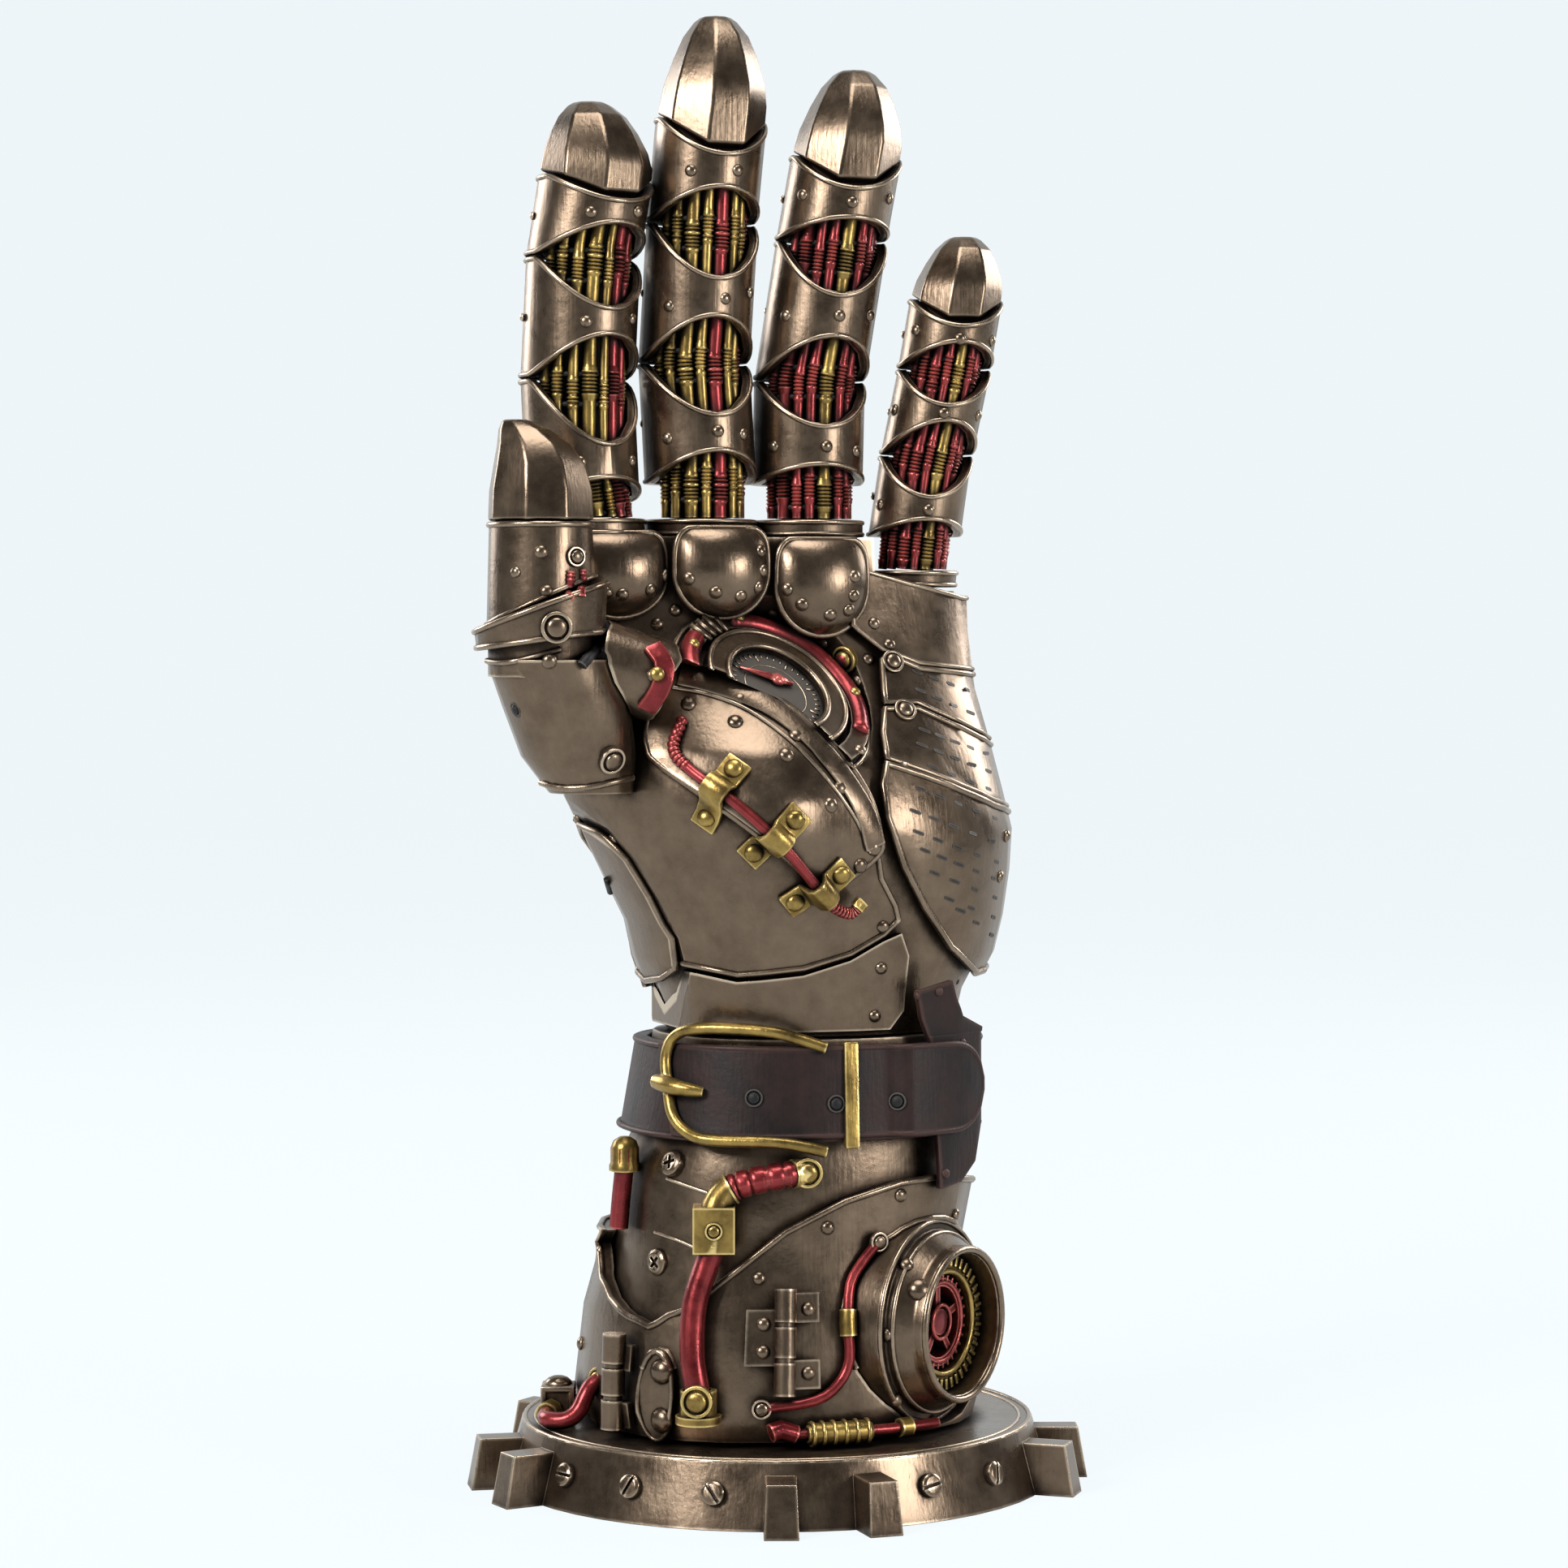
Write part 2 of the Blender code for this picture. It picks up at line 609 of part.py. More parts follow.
def make_port():
    place = port_place()
    cone_top = port_face - 2.2 * mm
    turned("gear_port", [
        (0.0, port_bore_floor), (port_bore_radius, port_bore_floor), (port_bore_radius, port_face),
        (port_lip_radius, port_face), (port_lip_radius, cone_top),
        (port_cone_radius, port_flange_face + 1.2 * mm), (port_cone_radius, port_flange_face),
        (port_flange_radius, port_flange_face), (port_flange_radius, port_flange_seat + seat_gap),
        (0.0, port_flange_seat + seat_gap),
    ], place, bronze, 32)
    low = port_bore_floor + seat_gap
    high = low + port_ring_wall
    outer = port_bore_radius - seat_gap
    ring = turned("gear_port_ring", [
        (port_ring_hole, high), (outer, high), (outer, low), (port_ring_hole, low), (port_ring_hole, high),
    ], place, gold, 24)
    for k in range(port_teeth):
        turn = Matrix.Rotation(2 * math.pi * k / port_teeth, 4, "Z")
        notch = [Vector((x, y, z)) for x, y, z in (
            (outer - 1.8 * mm, -0.6 * mm, 0), (outer + mm, -0.8 * mm, 0), (outer + mm, 0.8 * mm, 0),
            (outer - 1.8 * mm, 0.6 * mm, 0))]
        rings = [[place @ turn @ (spot + Vector((0, 0, z))) for spot in notch]
                 for z in (high - 1.4 * mm, high + mm)]
        carve(ring, loft("notch_{}".format(k), rings))
    floor = low
    top = floor + port_wheel_wall
    rim_inner = port_wheel_radius - port_wheel_rim
    wheel = turned("gear_port_wheel", [
        (rim_inner, top), (port_wheel_radius, top), (port_wheel_radius, floor), (rim_inner, floor), (rim_inner, top),
    ], place, red, 24)
    hub = turned("wheel_hub", [
        (0.0, top + 0.6 * mm), (port_wheel_hub, top), (port_wheel_hub, floor), (0.0, floor)], place, None, 16)
    carve(wheel, hub, "UNION")
    for k in range(port_spokes):
        turn = Matrix.Rotation(2 * math.pi * (k + 0.25) / port_spokes, 4, "Z")
        start = port_wheel_hub * 0.75
        end = rim_inner + port_wheel_rim / 2
        half = port_spoke_width / 2
        bar = ((start, -half), (end, -half), (end, half), (start, half))
        rings = [[place @ turn @ Vector((x, y, z)) for x, y in bar]
                 for z in (floor + 0.4 * mm, top - 0.5 * mm)]
        carve(wheel, loft("spoke_{}".format(k), rings), "UNION")


def make_hinge(name, angle, low, high, radius, leaves):
    """Moulded hinge: a barrel with two grooves and its leaves, in one solid."""
    out = cuff_grow() + radius + 2 * seat_gap
    foot = around(angle, low, out)
    head = around(angle, high, out)
    axis = (head - foot).normalized()
    length = (head - foot).length
    groove = 0.5 * mm
    profile = [(0.0, length)]
    for k in range(3):
        top = length * (1 - k / 3) - (groove if k else 0)
        bottom = length * (1 - (k + 1) / 3) + (groove if k < 2 else 0)
        profile += [(radius, top), (radius, bottom)]
        if k < 2:
            profile += [(radius * 0.8, bottom), (radius * 0.8, bottom - 2 * groove)]
    profile.append((0.0, 0.0))
    barrel = turned(name, profile, aimed(foot, axis), bronze, 16)
    for k, (side, start, end, wide) in enumerate(leaves):
        rings = []
        for share in (0.0, 1.0):
            here = angle + side * wide * share
            ring = []
            for height, grow in ((start, seat_gap), (end, seat_gap), (end, leaf_wall), (start, leaf_wall)):
                ring.append(around(here, height, cuff_grow() + grow))
            rings.append(ring)
        carve(barrel, loft("{}_leaf_{}".format(name, k), rings), "UNION")
    return barrel


def cuff_grow():
    """How far what sits on the cuff is off the forearm's skin."""
    return cuff_ease + cuff_wall + seat_gap


def make_hinges():
    make_hinge("front_hinge", 6.0, 23.0 * mm, 43.0 * mm, 2.1 * mm, (
        (1, 36.5 * mm, 42.0 * mm, 9.0), (1, 24.0 * mm, 29.5 * mm, 9.0), (-1, 28.5 * mm, 39.0 * mm, 11.0)))
    make_hinge("left_hinge", -49.0, 14.6 * mm, 33.0 * mm, 2.3 * mm, (
        (1, 15.0 * mm, 20.0 * mm, 6.0), (1, 26.0 * mm, 31.0 * mm, 6.0)))
    rings = []
    centre_angle = -33.0
    for grow in (cuff_ease + cuff_wall * 0.5, cuff_grow() + 1.5 * mm):
        ring = []
        for k in range(20):
            turn = 2 * math.pi * k / 20
            ring.append(around(centre_angle + 6.2 * math.cos(turn), 22.0 * mm + 8.6 * mm * math.sin(turn), grow))
        rings.append(ring)
    carve(bpy.data.objects["lower_cuff"], loft("oval_plate", rings), "UNION")


def smooth_line(points, per_leg=3):
    """Rounded line through a few points."""
    spots = [Vector(point) for point in points]
    ends = [2 * spots[0] - spots[1]] + spots + [2 * spots[-1] - spots[-2]]
    line = []
    for i in range(1, len(ends) - 2):
        a, b, c, d = ends[i - 1:i + 3]
        for k in range(per_leg):
            t = k / per_leg
            line.append(0.5 * (2 * b + (c - a) * t + (2 * a - 5 * b + 4 * c - d) * t * t
                               + (3 * b - a - 3 * c + d) * t * t * t))
    line.append(spots[-1])
    return line


def sleeve_on(name, point, axis, profile, look, steps=20):
    """Turned collar round a pipe, from (radius, height) pairs down its outer side."""
    return turned(name, profile, aimed(point, axis.normalized()), look, steps)


def make_front_pipe():
    out = cuff_grow() + big_pipe_radius
    route = (
        (10.0, 0.722, 0.9), (3.0, 0.716, 1.4), (-7.0, 0.703, 1.5), (-14.0, 0.685, 1.6), (-17.0, 0.65, 2.1),
        (-17.0, 0.60, 2.3), (-17.5, 0.55, 2.35), (-20.5, 0.45, 2.5), (-20.0, 0.345, 2.45), (-18.0, 0.27, 2.45),
        (-17.5, 0.22, 2.45),
    )
    line = smooth_line([around(angle, up * wrist_height, far * big_pipe_radius) for angle, up, far in route], 2)
    tube("front_pipe", line, big_pipe_radius, red)
    room = tube("front_pipe_room", line, big_pipe_radius + seat_gap)
    foot = around(-17.5, 0.225 * wrist_height, 2.3 * big_pipe_radius)
    cap = sleeve_on("front_pipe_cap", foot, Vector((0, 0, 1)), [
        (0.0, 4.0 * mm), (big_pipe_radius * 1.4, 4.0 * mm), (big_pipe_radius * 1.4, -0.6 * mm),
        (big_pipe_radius * 1.75, -0.8 * mm), (big_pipe_radius * 1.75, -2.4 * mm), (0.0, -2.4 * mm)], gold)
    middle = around(-17.0, 0.605 * wrist_height, 2.2 * big_pipe_radius)
    rings = [[middle + Vector((x * mm, y * mm, z * mm)) for x, y in ((-4, -3.4), (4, -3.4), (4, 3.6), (-4, 3.6))]
             for z in (-4.4, 4.4)]
    block = loft("front_pipe_box", rings, gold)
    allowance = body_form("forearm_allowance", forearm_heights(forearm_foot, wrist_height), seat_gap)
    for piece in (cap, block):
        carve(piece, room)
        carve(piece, allowance)
        carve(piece, cuff_allowance())


def make_left_pipe():
    cap_radius = left_pipe_radius * 1.3
    rest = left_pipe_radius + 1.5 * seat_gap
    top = around(-62.0, 0.72 * wrist_height, cap_radius + seat_gap)
    route = [top, around(-65.0, 0.64 * wrist_height, rest), around(-66.0, 0.575 * wrist_height, rest)]
    pipe = tube("left_pipe", smooth_line(route), left_pipe_radius, red)
    cap = sleeve_on("left_pipe_cap", top, Vector((0, 0, 1)), [
        (0.0, 5.0 * mm), (left_pipe_radius * 0.9, 4.6 * mm), (cap_radius, 3.0 * mm), (cap_radius, 0.0),
        (0.0, 0.0)], None)
    carve(pipe, cap, "UNION")


def make_thin_pipes():
    thin = cuff_grow() + small_pipe_radius
    tube("thin_pipe", smooth_line([
        around(29.0, 50.8 * mm, thin), around(25.0, 47.0 * mm, thin), around(22.0, 43.0 * mm, thin),
        around(21.0, 36.0 * mm, thin + 0.3 * mm), around(21.0, 29.0 * mm, thin + 0.2 * mm),
        around(19.0, 24.5 * mm, thin), around(13.6, 21.6 * mm, thin), around(0.0, 20.4 * mm, thin)], 3),
        small_pipe_radius, red)
    low = foot_pipe_height
    far = cuff_grow() + capsule_radius
    line = smooth_line([
        around(5.0, low + 2.0 * mm, far), around(6.5, low + 0.6 * mm, far), around(10.0, low, far),
        around(20.0, low, far), around(30.0, low, far), around(40.0, low, far), around(46.0, low, far)], 2)
    tube("foot_pipe", line, small_pipe_radius, red)
    middle = around(19.0, low, far)
    along = around(21.0, low, far) - around(17.0, low, far)
    half = capsule_length / 2
    capsule = sleeve_on("foot_capsule", middle, along, [
        (0.0, half), (capsule_radius * 0.75, half), (capsule_radius, half - mm), (capsule_radius, mm - half),
        (capsule_radius * 0.75, -half), (0.0, -half)], gold, 16)
    carve(capsule, tube("foot_pipe_room", line, small_pipe_radius + seat_gap))


def cuff_allowance():
    """The lower cuff with its gap, as a cutter."""
    found = bpy.data.objects.get("cuff_allowance")
    if found:
        return found
    return loft("cuff_allowance", cuff_rows(forearm_foot, seat_gap, cuff_grow()))


def make_belt():
    outer = belt_ease + belt_wall
    heights = forearm_heights(belt_foot, belt_top)
    wall_ring("wrist_belt", [skin_ring(h, outer) for h in heights], [skin_ring(h, belt_ease) for h in heights], leather)
    rest = outer + 3 * seat_gap + buckle_bar
    half = forearm_width / 2
    wanted = ((-0.04, 0.985), (-0.30, 1.02), (-0.62, 1.025), (-0.74, 0.98), (-0.76, 0.90), (-0.74, 0.83),
              (-0.62, 0.795), (-0.30, 0.785), (-0.06, 0.765))
    frame = [on_front(across * half, up * wrist_height, rest) for across, up in wanted]
    buckle = tube("belt_buckle", frame, buckle_bar, gold)
    prong = [on_front(across * half, up * wrist_height, rest) for across, up in ((-0.755, 0.92), (-0.56, 0.90))]
    carve(buckle, tube("buckle_prong", prong, buckle_bar * 0.8), "UNION")
    rings = []
    for height in (belt_foot - 1.2 * mm, belt_top + 1.2 * mm):
        lean = 0.01 if height > belt_top else 0.0
        spots = []
        for side, grow in ((-1, outer + seat_gap), (1, outer + seat_gap), (1, outer + 2.0 * mm), (-1, outer + 2.0 * mm)):
            spots.append(on_front((0.09 + lean) * half + side * keeper_width / 2, height, grow))
        rings.append(spots)
    loft("belt_keeper", rings, gold)


def make_tab():
    low = belt_foot - 14 * mm
    high = heel_height + 10 * mm
    heights = forearm_heights(low, wrist_height - 0.1 * mm) + hand_heights(wrist_height + 0.1 * mm, high)
    inner = belt_ease + belt_wall + seat_gap
    tab = body_form("wrist_tab", heights, inner + tab_wall, leather)
    carve_shell(tab, body_form("tab_inside", [low - mm] + heights[1:-1] + [high + mm], inner))
    outline = [(across * forearm_width / 2, up * wrist_height) for across, up in tab_outline]
    carve_shell(tab, prism("tab_prism", outline, 0.0, beyond), "INTERSECT")


def dial_axes():
    """Centre and outward direction of the tilted dial."""
    across, up = hand_place(dial_centre)
    centre = on_front(across, up, dial_rise)
    level = facing(palm_turn + dial_swing)
    out = (level * math.cos(dial_tilt) + Vector((0, 0, math.sin(dial_tilt)))).normalized()
    return centre, out


def dial_pocket():
    found = bpy.data.objects.get("dial_pocket")
    if found:
        return found
    centre, out = dial_axes()
    radius = dial_frame_radius + seat_gap
    low = -dial_frame_wall - seat_gap
    profile = [(0.0, 60 * mm), (radius, 60 * mm), (radius, low), (0.0, low)]
    return turned("dial_pocket", profile, aimed(centre, out), None, 32)


def make_palm():
    core = body_form("palm_core", hand_heights(wrist_height, hand_top), -plate_wall, bronze)
    across, up = hand_place(little_step)
    high = hand_top + 20 * mm
    step = prism("little_step_cut", [(across, up), (across + 80 * mm, up), (across + 80 * mm, high), (across, high)],
                 -60 * mm, 60 * mm)
    carve_shell(core, step)
    carve_shell(core, dial_pocket())
    return core


def plate(name, outline, low, high, near, far, look):
    """Piece of a shell over the palm, cut to an outline."""
    top = hand_top
    made = body_form(name, hand_heights(wrist_height, top), high, look)
    inside = "skin_{:.1f}".format(low / mm).replace("-", "in_")
    if inside not in bpy.data.objects:
        body_form(inside, hand_heights(wrist_height - mm, top + mm), low)
    carve_shell(made, bpy.data.objects[inside])
    carve_shell(made, prism(name + "_prism", [hand_place(spot) for spot in outline], near, far), "INTERSECT")
    return made


def make_plates():
    low = seat_gap - plate_wall
    for name, outline in plate_outlines.items():
        made = plate(name, outline, low, 0.0, -palm_side_depth, beyond, bronze)
        if name in ("thenar_lower", "hypothenar_upper", "hypothenar_middle", "little_knuckle_plate"):
            carve_shell(made, dial_pocket())
    plate("thenar_upper", thenar_upper_outline, seat_gap, seat_gap + raised_wall, 0.0, beyond, bronze)
    plate("back_plate", back_outline, low, 0.0, -beyond, -palm_side_depth - rim_gap, bronze)


def allowance(name, outline):
    """Prism of a plate's outline with a gap all round it, as a cutter for its neighbours."""
    if name in bpy.data.objects:
        return bpy.data.objects[name]
    spots = [Vector(hand_place(spot)) for spot in outline]
    grown = []
    for before, spot, after in zip(spots[-1:] + spots[:-1], spots, spots[1:] + spots[:1]):
        first = (spot - before).normalized()
        second = (after - spot).normalized()
        normal = Vector((first.y + second.y, -first.x - second.x)).normalized()
        grown.append(spot + normal * math.copysign(rim_gap, signed_area(spots)))
    return prism(name, grown, -20 * mm, beyond)


def signed_area(spots):
    """Signed area of an outline; positive when it runs anticlockwise."""
    return sum(a.x * b.y - b.x * a.y for a, b in zip(spots, spots[1:] + spots[:1])) / 2


def make_dial():
    centre, out = dial_axes()
    place = aimed(centre, out)
    cover = allowance("thenar_allowance", thenar_upper_outline)
    frame = turned("palm_dial", [
        (0.0, dial_ring_rise - 1.6 * mm), (dial_glass_radius, dial_ring_rise - 1.6 * mm),
        (dial_glass_radius, dial_ring_rise), (dial_ring_radius, dial_ring_rise), (dial_ring_radius, 0.0),
        (dial_frame_radius, 0.0), (dial_frame_radius, -dial_frame_wall), (0.0, -dial_frame_wall),
    ], place, bronze, 32)
    glass_low = dial_ring_rise - 1.6 * mm + seat_gap
    rim = dial_glass_radius - seat_gap
    face = turned("dial_glass", [
        (0.0, glass_low + 2.2 * mm), (rim * 0.5, glass_low + 1.9 * mm), (rim * 0.85, glass_low + 1.2 * mm),
        (rim, glass_low + 0.6 * mm), (rim, glass_low), (0.0, glass_low)], place, glass, 24)
    arc = turned("dial_arc", [
        (dial_arc_inner, dial_arc_rise), (dial_arc_outer, dial_arc_rise),
        (dial_arc_outer, -mm), (dial_arc_inner, -mm), (dial_arc_inner, dial_arc_rise)],
        place, None, 32)
    carve_shell(frame, arc, "UNION")
    for piece in (frame, face):
        carve_shell(piece, cover)


def make_pads():
    """Domed knuckle pads: flattened balls on the palm's skin."""
    skin = body_form("pad_skin", hand_heights(wrist_height - mm, hand_top + 2 * mm), seat_gap - plate_wall)
    top = hand_top
    lid = prism("pad_lid", [(-beyond, top), (beyond, top), (beyond, top + 40 * mm), (-beyond, top + 40 * mm)],
                -60 * mm, beyond)
    for name, (across, up, wide, tall, rise) in knuckle_pads.items():
        x, z = hand_place((across, up))
        form = bmesh.new()
        bmesh.ops.create_uvsphere(form, u_segments=16, v_segments=10, radius=1.0)
        mesh = bpy.data.meshes.new(name)
        form.to_mesh(mesh)
        form.free()
        centre = on_front(x, z, 0.0)
        mesh.transform(Matrix.Translation(centre) @ palm_frame() @ Matrix.Diagonal((wide, tall, rise, 1.0)))
        pad = add_mesh(name, mesh, bronze)
        carve_shell(pad, skin)
        carve_shell(pad, lid)
        carve_shell(pad, dial_pocket())
        carve_shell(pad, allowance("little_allowance", plate_outlines["little_knuckle_plate"]))
        carve_shell(pad, allowance("thenar_lower_allowance", plate_outlines["thenar_lower"]))


def finger_centre(finger, height):
    """Centre of a finger at a height above its foot."""
    steps = len(finger["lean"]) - 1
    whole = finger["levels"][-1] * mm
    share = min(max(height / whole, 0.0), 1.0) * steps
    k = min(int(share), steps - 1)
    lean = finger["lean"][k] + (finger["lean"][k + 1] - finger["lean"][k]) * (share - k)
    foot = in_palm(finger["foot"] * hand_width / 2, finger["rise"], 0.0)
    return foot + Vector((lean * finger["radius"], 0.0, height))


def finger_ring(finger, radius, height_at, count):
    """Ring of points round a finger, where height_at gives the height for a turn from its front."""
    front = math.radians(finger["facing"])
    ring = []
    for k in range(count):
        turn = 2 * math.pi * k / count
        height = height_at(turn)
        reach_here = radius(turn) if callable(radius) else radius
        ring.append(finger_centre(finger, height) + facing(front + turn) * reach_here)
    return ring


def make_band(name, finger, low_front, low_side, top_front, top_side):
    outer = finger["radius"]
    inner = outer - band_wall

    def edge(front, side):
        return lambda turn: side + (front - side) * max(0.0, math.cos(turn)) ** 1.3

    rows = []
    for radius in (outer, inner):
        rows.append([finger_ring(finger, radius, edge(low_front, low_side), band_points),
                     finger_ring(finger, radius, edge(top_front, top_side), band_points)])
    return wall_ring(name, rows[0], rows[1], bronze)


def make_finger(name, finger):
    foot_front, foot_side, lower_top, pivot1, mid_foot, mid_top, pivot2, up_foot, up_top, up_side, tip = (
        level * mm for level in finger["levels"])
    half = rim_gap / 2
    core_radius = finger["radius"] - band_wall - finger_ease
    core_top = up_foot + 1.5 * mm
    core_foot = collar_height + seat_gap

    def fluted(turn):
        return core_radius * (0.955 + 0.045 * math.cos(tube_lobes * turn))

    steps = 6
    rings = []
    for k in range(steps + 1):
        height = core_foot + (core_top - core_foot) * k / steps
        rings.append(finger_ring(finger, fluted, lambda turn: height, 2 * tube_lobes))
    loft(name + "_tubes", rings, gold)
    stub = finger["radius"] * 0.4
    rings = []
    full = finger["radius"]
    for radius, height in ((stub, -2.0 * mm), (stub, seat_gap), (full, seat_gap), (full, collar_height)):
        rings.append(finger_ring(finger, radius, lambda turn: height, band_points))
    collar = loft(name + "_collar", rings)
    carve_shell(bpy.data.objects["palm_core"], collar, "UNION")
    make_band(name + "_lower_band", finger, foot_front, foot_side, lower_top, pivot1 - half)
    make_band(name + "_middle_band", finger, mid_foot, pivot1 + half, mid_top, pivot2 - half)
    make_band(name + "_upper_band", finger, up_foot, pivot2 + half, up_top, up_side)
    front = math.radians(finger["facing"])
    rings = []
    low = core_top + seat_gap
    plug = finger["radius"] - band_wall - finger_ease
    rows = [(low, plug, 0.0), (up_top - 0.6 * mm, plug, 0.0)]
    for share, radius, back in claw_rows:
        rows.append((up_side + (tip - up_side) * share, finger["radius"] * radius, finger["radius"] * back))
    for height, radius, back in rows:
        centre = finger_centre(finger, height) - facing(front) * back
        radius = min(radius, plug) if height < up_side + mm else radius
        rings.append([centre + facing(front + math.radians(turn)) * radius for turn in claw_facets])
    loft(name + "_claw", rings, bronze)


def thumb_point(across, out, height):
    return in_palm(across * hand_width / 2, height, out * hand_width / 2)


def thumb_ring(centre, radius, tilt=0.0, count=16):
    """Level or tilted ring; tilt lifts its right side."""
    ring = []
    for k in range(count):
        turn = 2 * math.pi * k / count
        off = Vector((math.cos(turn), math.sin(turn), 0.0)) * radius
        ring.append(centre + off + Vector((0, 0, tilt * math.cos(turn))))
    return ring


def make_thumb():
    span = thumb_tip_height - thumb_sleeve_foot
    rings = []
    for share, across, out, radius in sleeve_rows:
        height = thumb_sleeve_foot + share * span
        rings.append(thumb_ring(thumb_point(across, out, height), radius * thumb_radius))
    sleeve = loft("thumb_sleeve", rings, bronze)
    top = hand_top
    skin = body_form("thumb_skin", hand_heights(wrist_height - mm, top), seat_gap)
    carve(sleeve, skin)
    centre = thumb_point(*thumb_axis, 0.0)
    low = thumb_sleeve_top + 1.2 * mm
    inner = thumb_radius - thumb_wall
    neck = thumb_radius * 0.84 - thumb_wall
    cuff = wall_ring("thumb_cuff_lower", [
        thumb_ring(centre + Vector((0, 0, low + 2.0 * mm)), thumb_radius, 1.6 * mm),
        thumb_ring(centre + Vector((0, 0, low + 8.0 * mm)), thumb_radius * 1.03, 4.6 * mm)], [
        thumb_ring(centre + Vector((0, 0, low + 2.0 * mm)), inner, 1.6 * mm),
        thumb_ring(centre + Vector((0, 0, low + 8.0 * mm)), inner, 4.6 * mm)], bronze)
    rings = [thumb_ring(centre + Vector((0, 0, low - 5.0 * mm)), inner - seat_gap),
             thumb_ring(centre + Vector((0, 0, low + 2.8 * mm)), inner - seat_gap),
             thumb_ring(centre + Vector((0, 0, low + 3.4 * mm)), neck - seat_gap),
             thumb_ring(centre + Vector((0, 0, low + 24.0 * mm)), neck - seat_gap)]
    carve(sleeve, loft("thumb_core", rings), "UNION")
    carve(cuff, skin)
    make_thumb_root(skin, sleeve)
    wall_ring("thumb_cuff_upper", [
        thumb_ring(centre + Vector((0, 0, low + 9.4 * mm)), thumb_radius * 0.84, 4.6 * mm),
        thumb_ring(centre + Vector((0, 0, low + 23.6 * mm)), thumb_radius * 0.80, 0.0)], [
        thumb_ring(centre + Vector((0, 0, low + 9.4 * mm)), neck, 4.6 * mm),
        thumb_ring(centre + Vector((0, 0, low + 23.6 * mm)), neck, 0.0)], bronze)
    rings = []
    claw_low = low + 24.4 * mm
    for share, lean, radius in thumb_claw_rows:
        height = claw_low + (thumb_tip_height - claw_low) * share
        spot = centre + Vector((lean * thumb_radius, 0, height))
        rings.append([spot + facing(math.radians(turn + 10.0)) * radius * thumb_radius for turn in claw_facets])
    loft("thumb_claw", rings, bronze)


def make_thumb_root(skin, sleeve):
    """Short barrel between the thumb's sleeve and the raised plate."""
    end = thumb_point(*root_inner)
    start = thumb_point(*root_outer)
    axis = (end - start).normalized()
    length = (end - start).length
    root = turned("thumb_root", [
        (0.0, length), (root_radius * 0.92, length), (root_radius, length * 0.8), (root_radius, length * 0.25),
        (root_radius * 0.9, 0.0), (0.0, 0.0)], aimed(start, axis), bronze, 16)
    carve_shell(root, skin)
    rings = []
    span = thumb_tip_height - thumb_sleeve_foot
    for share, across, out, radius in sleeve_rows:
        height = thumb_sleeve_foot + share * span
        rings.append(thumb_ring(thumb_point(across, out, height), radius * thumb_radius + seat_gap))
    for height in (thumb_sleeve_top + mm, thumb_sleeve_top + 20 * mm):
        rings.append(thumb_ring(thumb_point(*thumb_axis, height), thumb_radius * 1.03 + 2 * seat_gap))
    carve_shell(root, loft("sleeve_allowance", rings))
    carve_shell(root, dial_pocket())
    carve_shell(root, allowance("thenar_allowance", thenar_upper_outline))


def make_thenar_pipe():
    out = seat_gap * 3 + raised_wall + small_pipe_radius
    wanted = ((-0.60, 0.615), (-0.655, 0.55), (-0.60, 0.505), (-0.46, 0.44), (-0.28, 0.35), (-0.10, 0.255),
              (-0.02, 0.215), (0.06, 0.20), (0.11, 0.225))
    spots = []
    for share in wanted:
        across, up = hand_place(share)
        spots.append(on_front(across, up, out))
    tube("thenar_pipe", smooth_line(spots, 2), small_pipe_radius, red)


def build():
    start_scene()
    make_base()
    make_forearm()
    make_cuff()
    make_port()
    make_hinges()
    make_front_pipe()
    make_left_pipe()
    make_thin_pipes()
    make_belt()
    make_tab()
    make_palm()
    make_plates()
    make_dial()
    make_pads()
    for name, finger in fingers.items():
        make_finger(name, finger)
    make_thumb()
    make_thenar_pipe()


build()
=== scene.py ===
import math

import bmesh
import bpy
from mathutils import Matrix, Vector
from mathutils.bvhtree import BVHTree


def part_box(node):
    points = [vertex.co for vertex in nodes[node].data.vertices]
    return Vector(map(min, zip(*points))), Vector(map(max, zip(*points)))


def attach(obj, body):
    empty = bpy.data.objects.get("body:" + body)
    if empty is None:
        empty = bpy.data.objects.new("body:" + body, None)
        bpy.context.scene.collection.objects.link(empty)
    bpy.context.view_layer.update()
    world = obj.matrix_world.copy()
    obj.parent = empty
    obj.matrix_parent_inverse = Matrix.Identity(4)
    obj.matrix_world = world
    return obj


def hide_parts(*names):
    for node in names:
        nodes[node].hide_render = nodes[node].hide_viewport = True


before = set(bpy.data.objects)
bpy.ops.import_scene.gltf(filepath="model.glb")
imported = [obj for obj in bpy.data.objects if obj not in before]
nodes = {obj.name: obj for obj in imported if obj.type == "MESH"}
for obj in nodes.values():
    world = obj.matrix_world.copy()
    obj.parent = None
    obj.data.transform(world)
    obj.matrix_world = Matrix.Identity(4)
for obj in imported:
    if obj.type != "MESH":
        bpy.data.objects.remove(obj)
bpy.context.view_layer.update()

mm = 0.001

# Camera of the photo, in millimetres and photo pixels
cameraPlan = {"spot": (1.4, -850.0, 170.0), "aim": (1.4, 0.0, 137.5), "focal": 5304.0, "width": 1932.0,
              "sensor": 36.0, "near": 0.05}


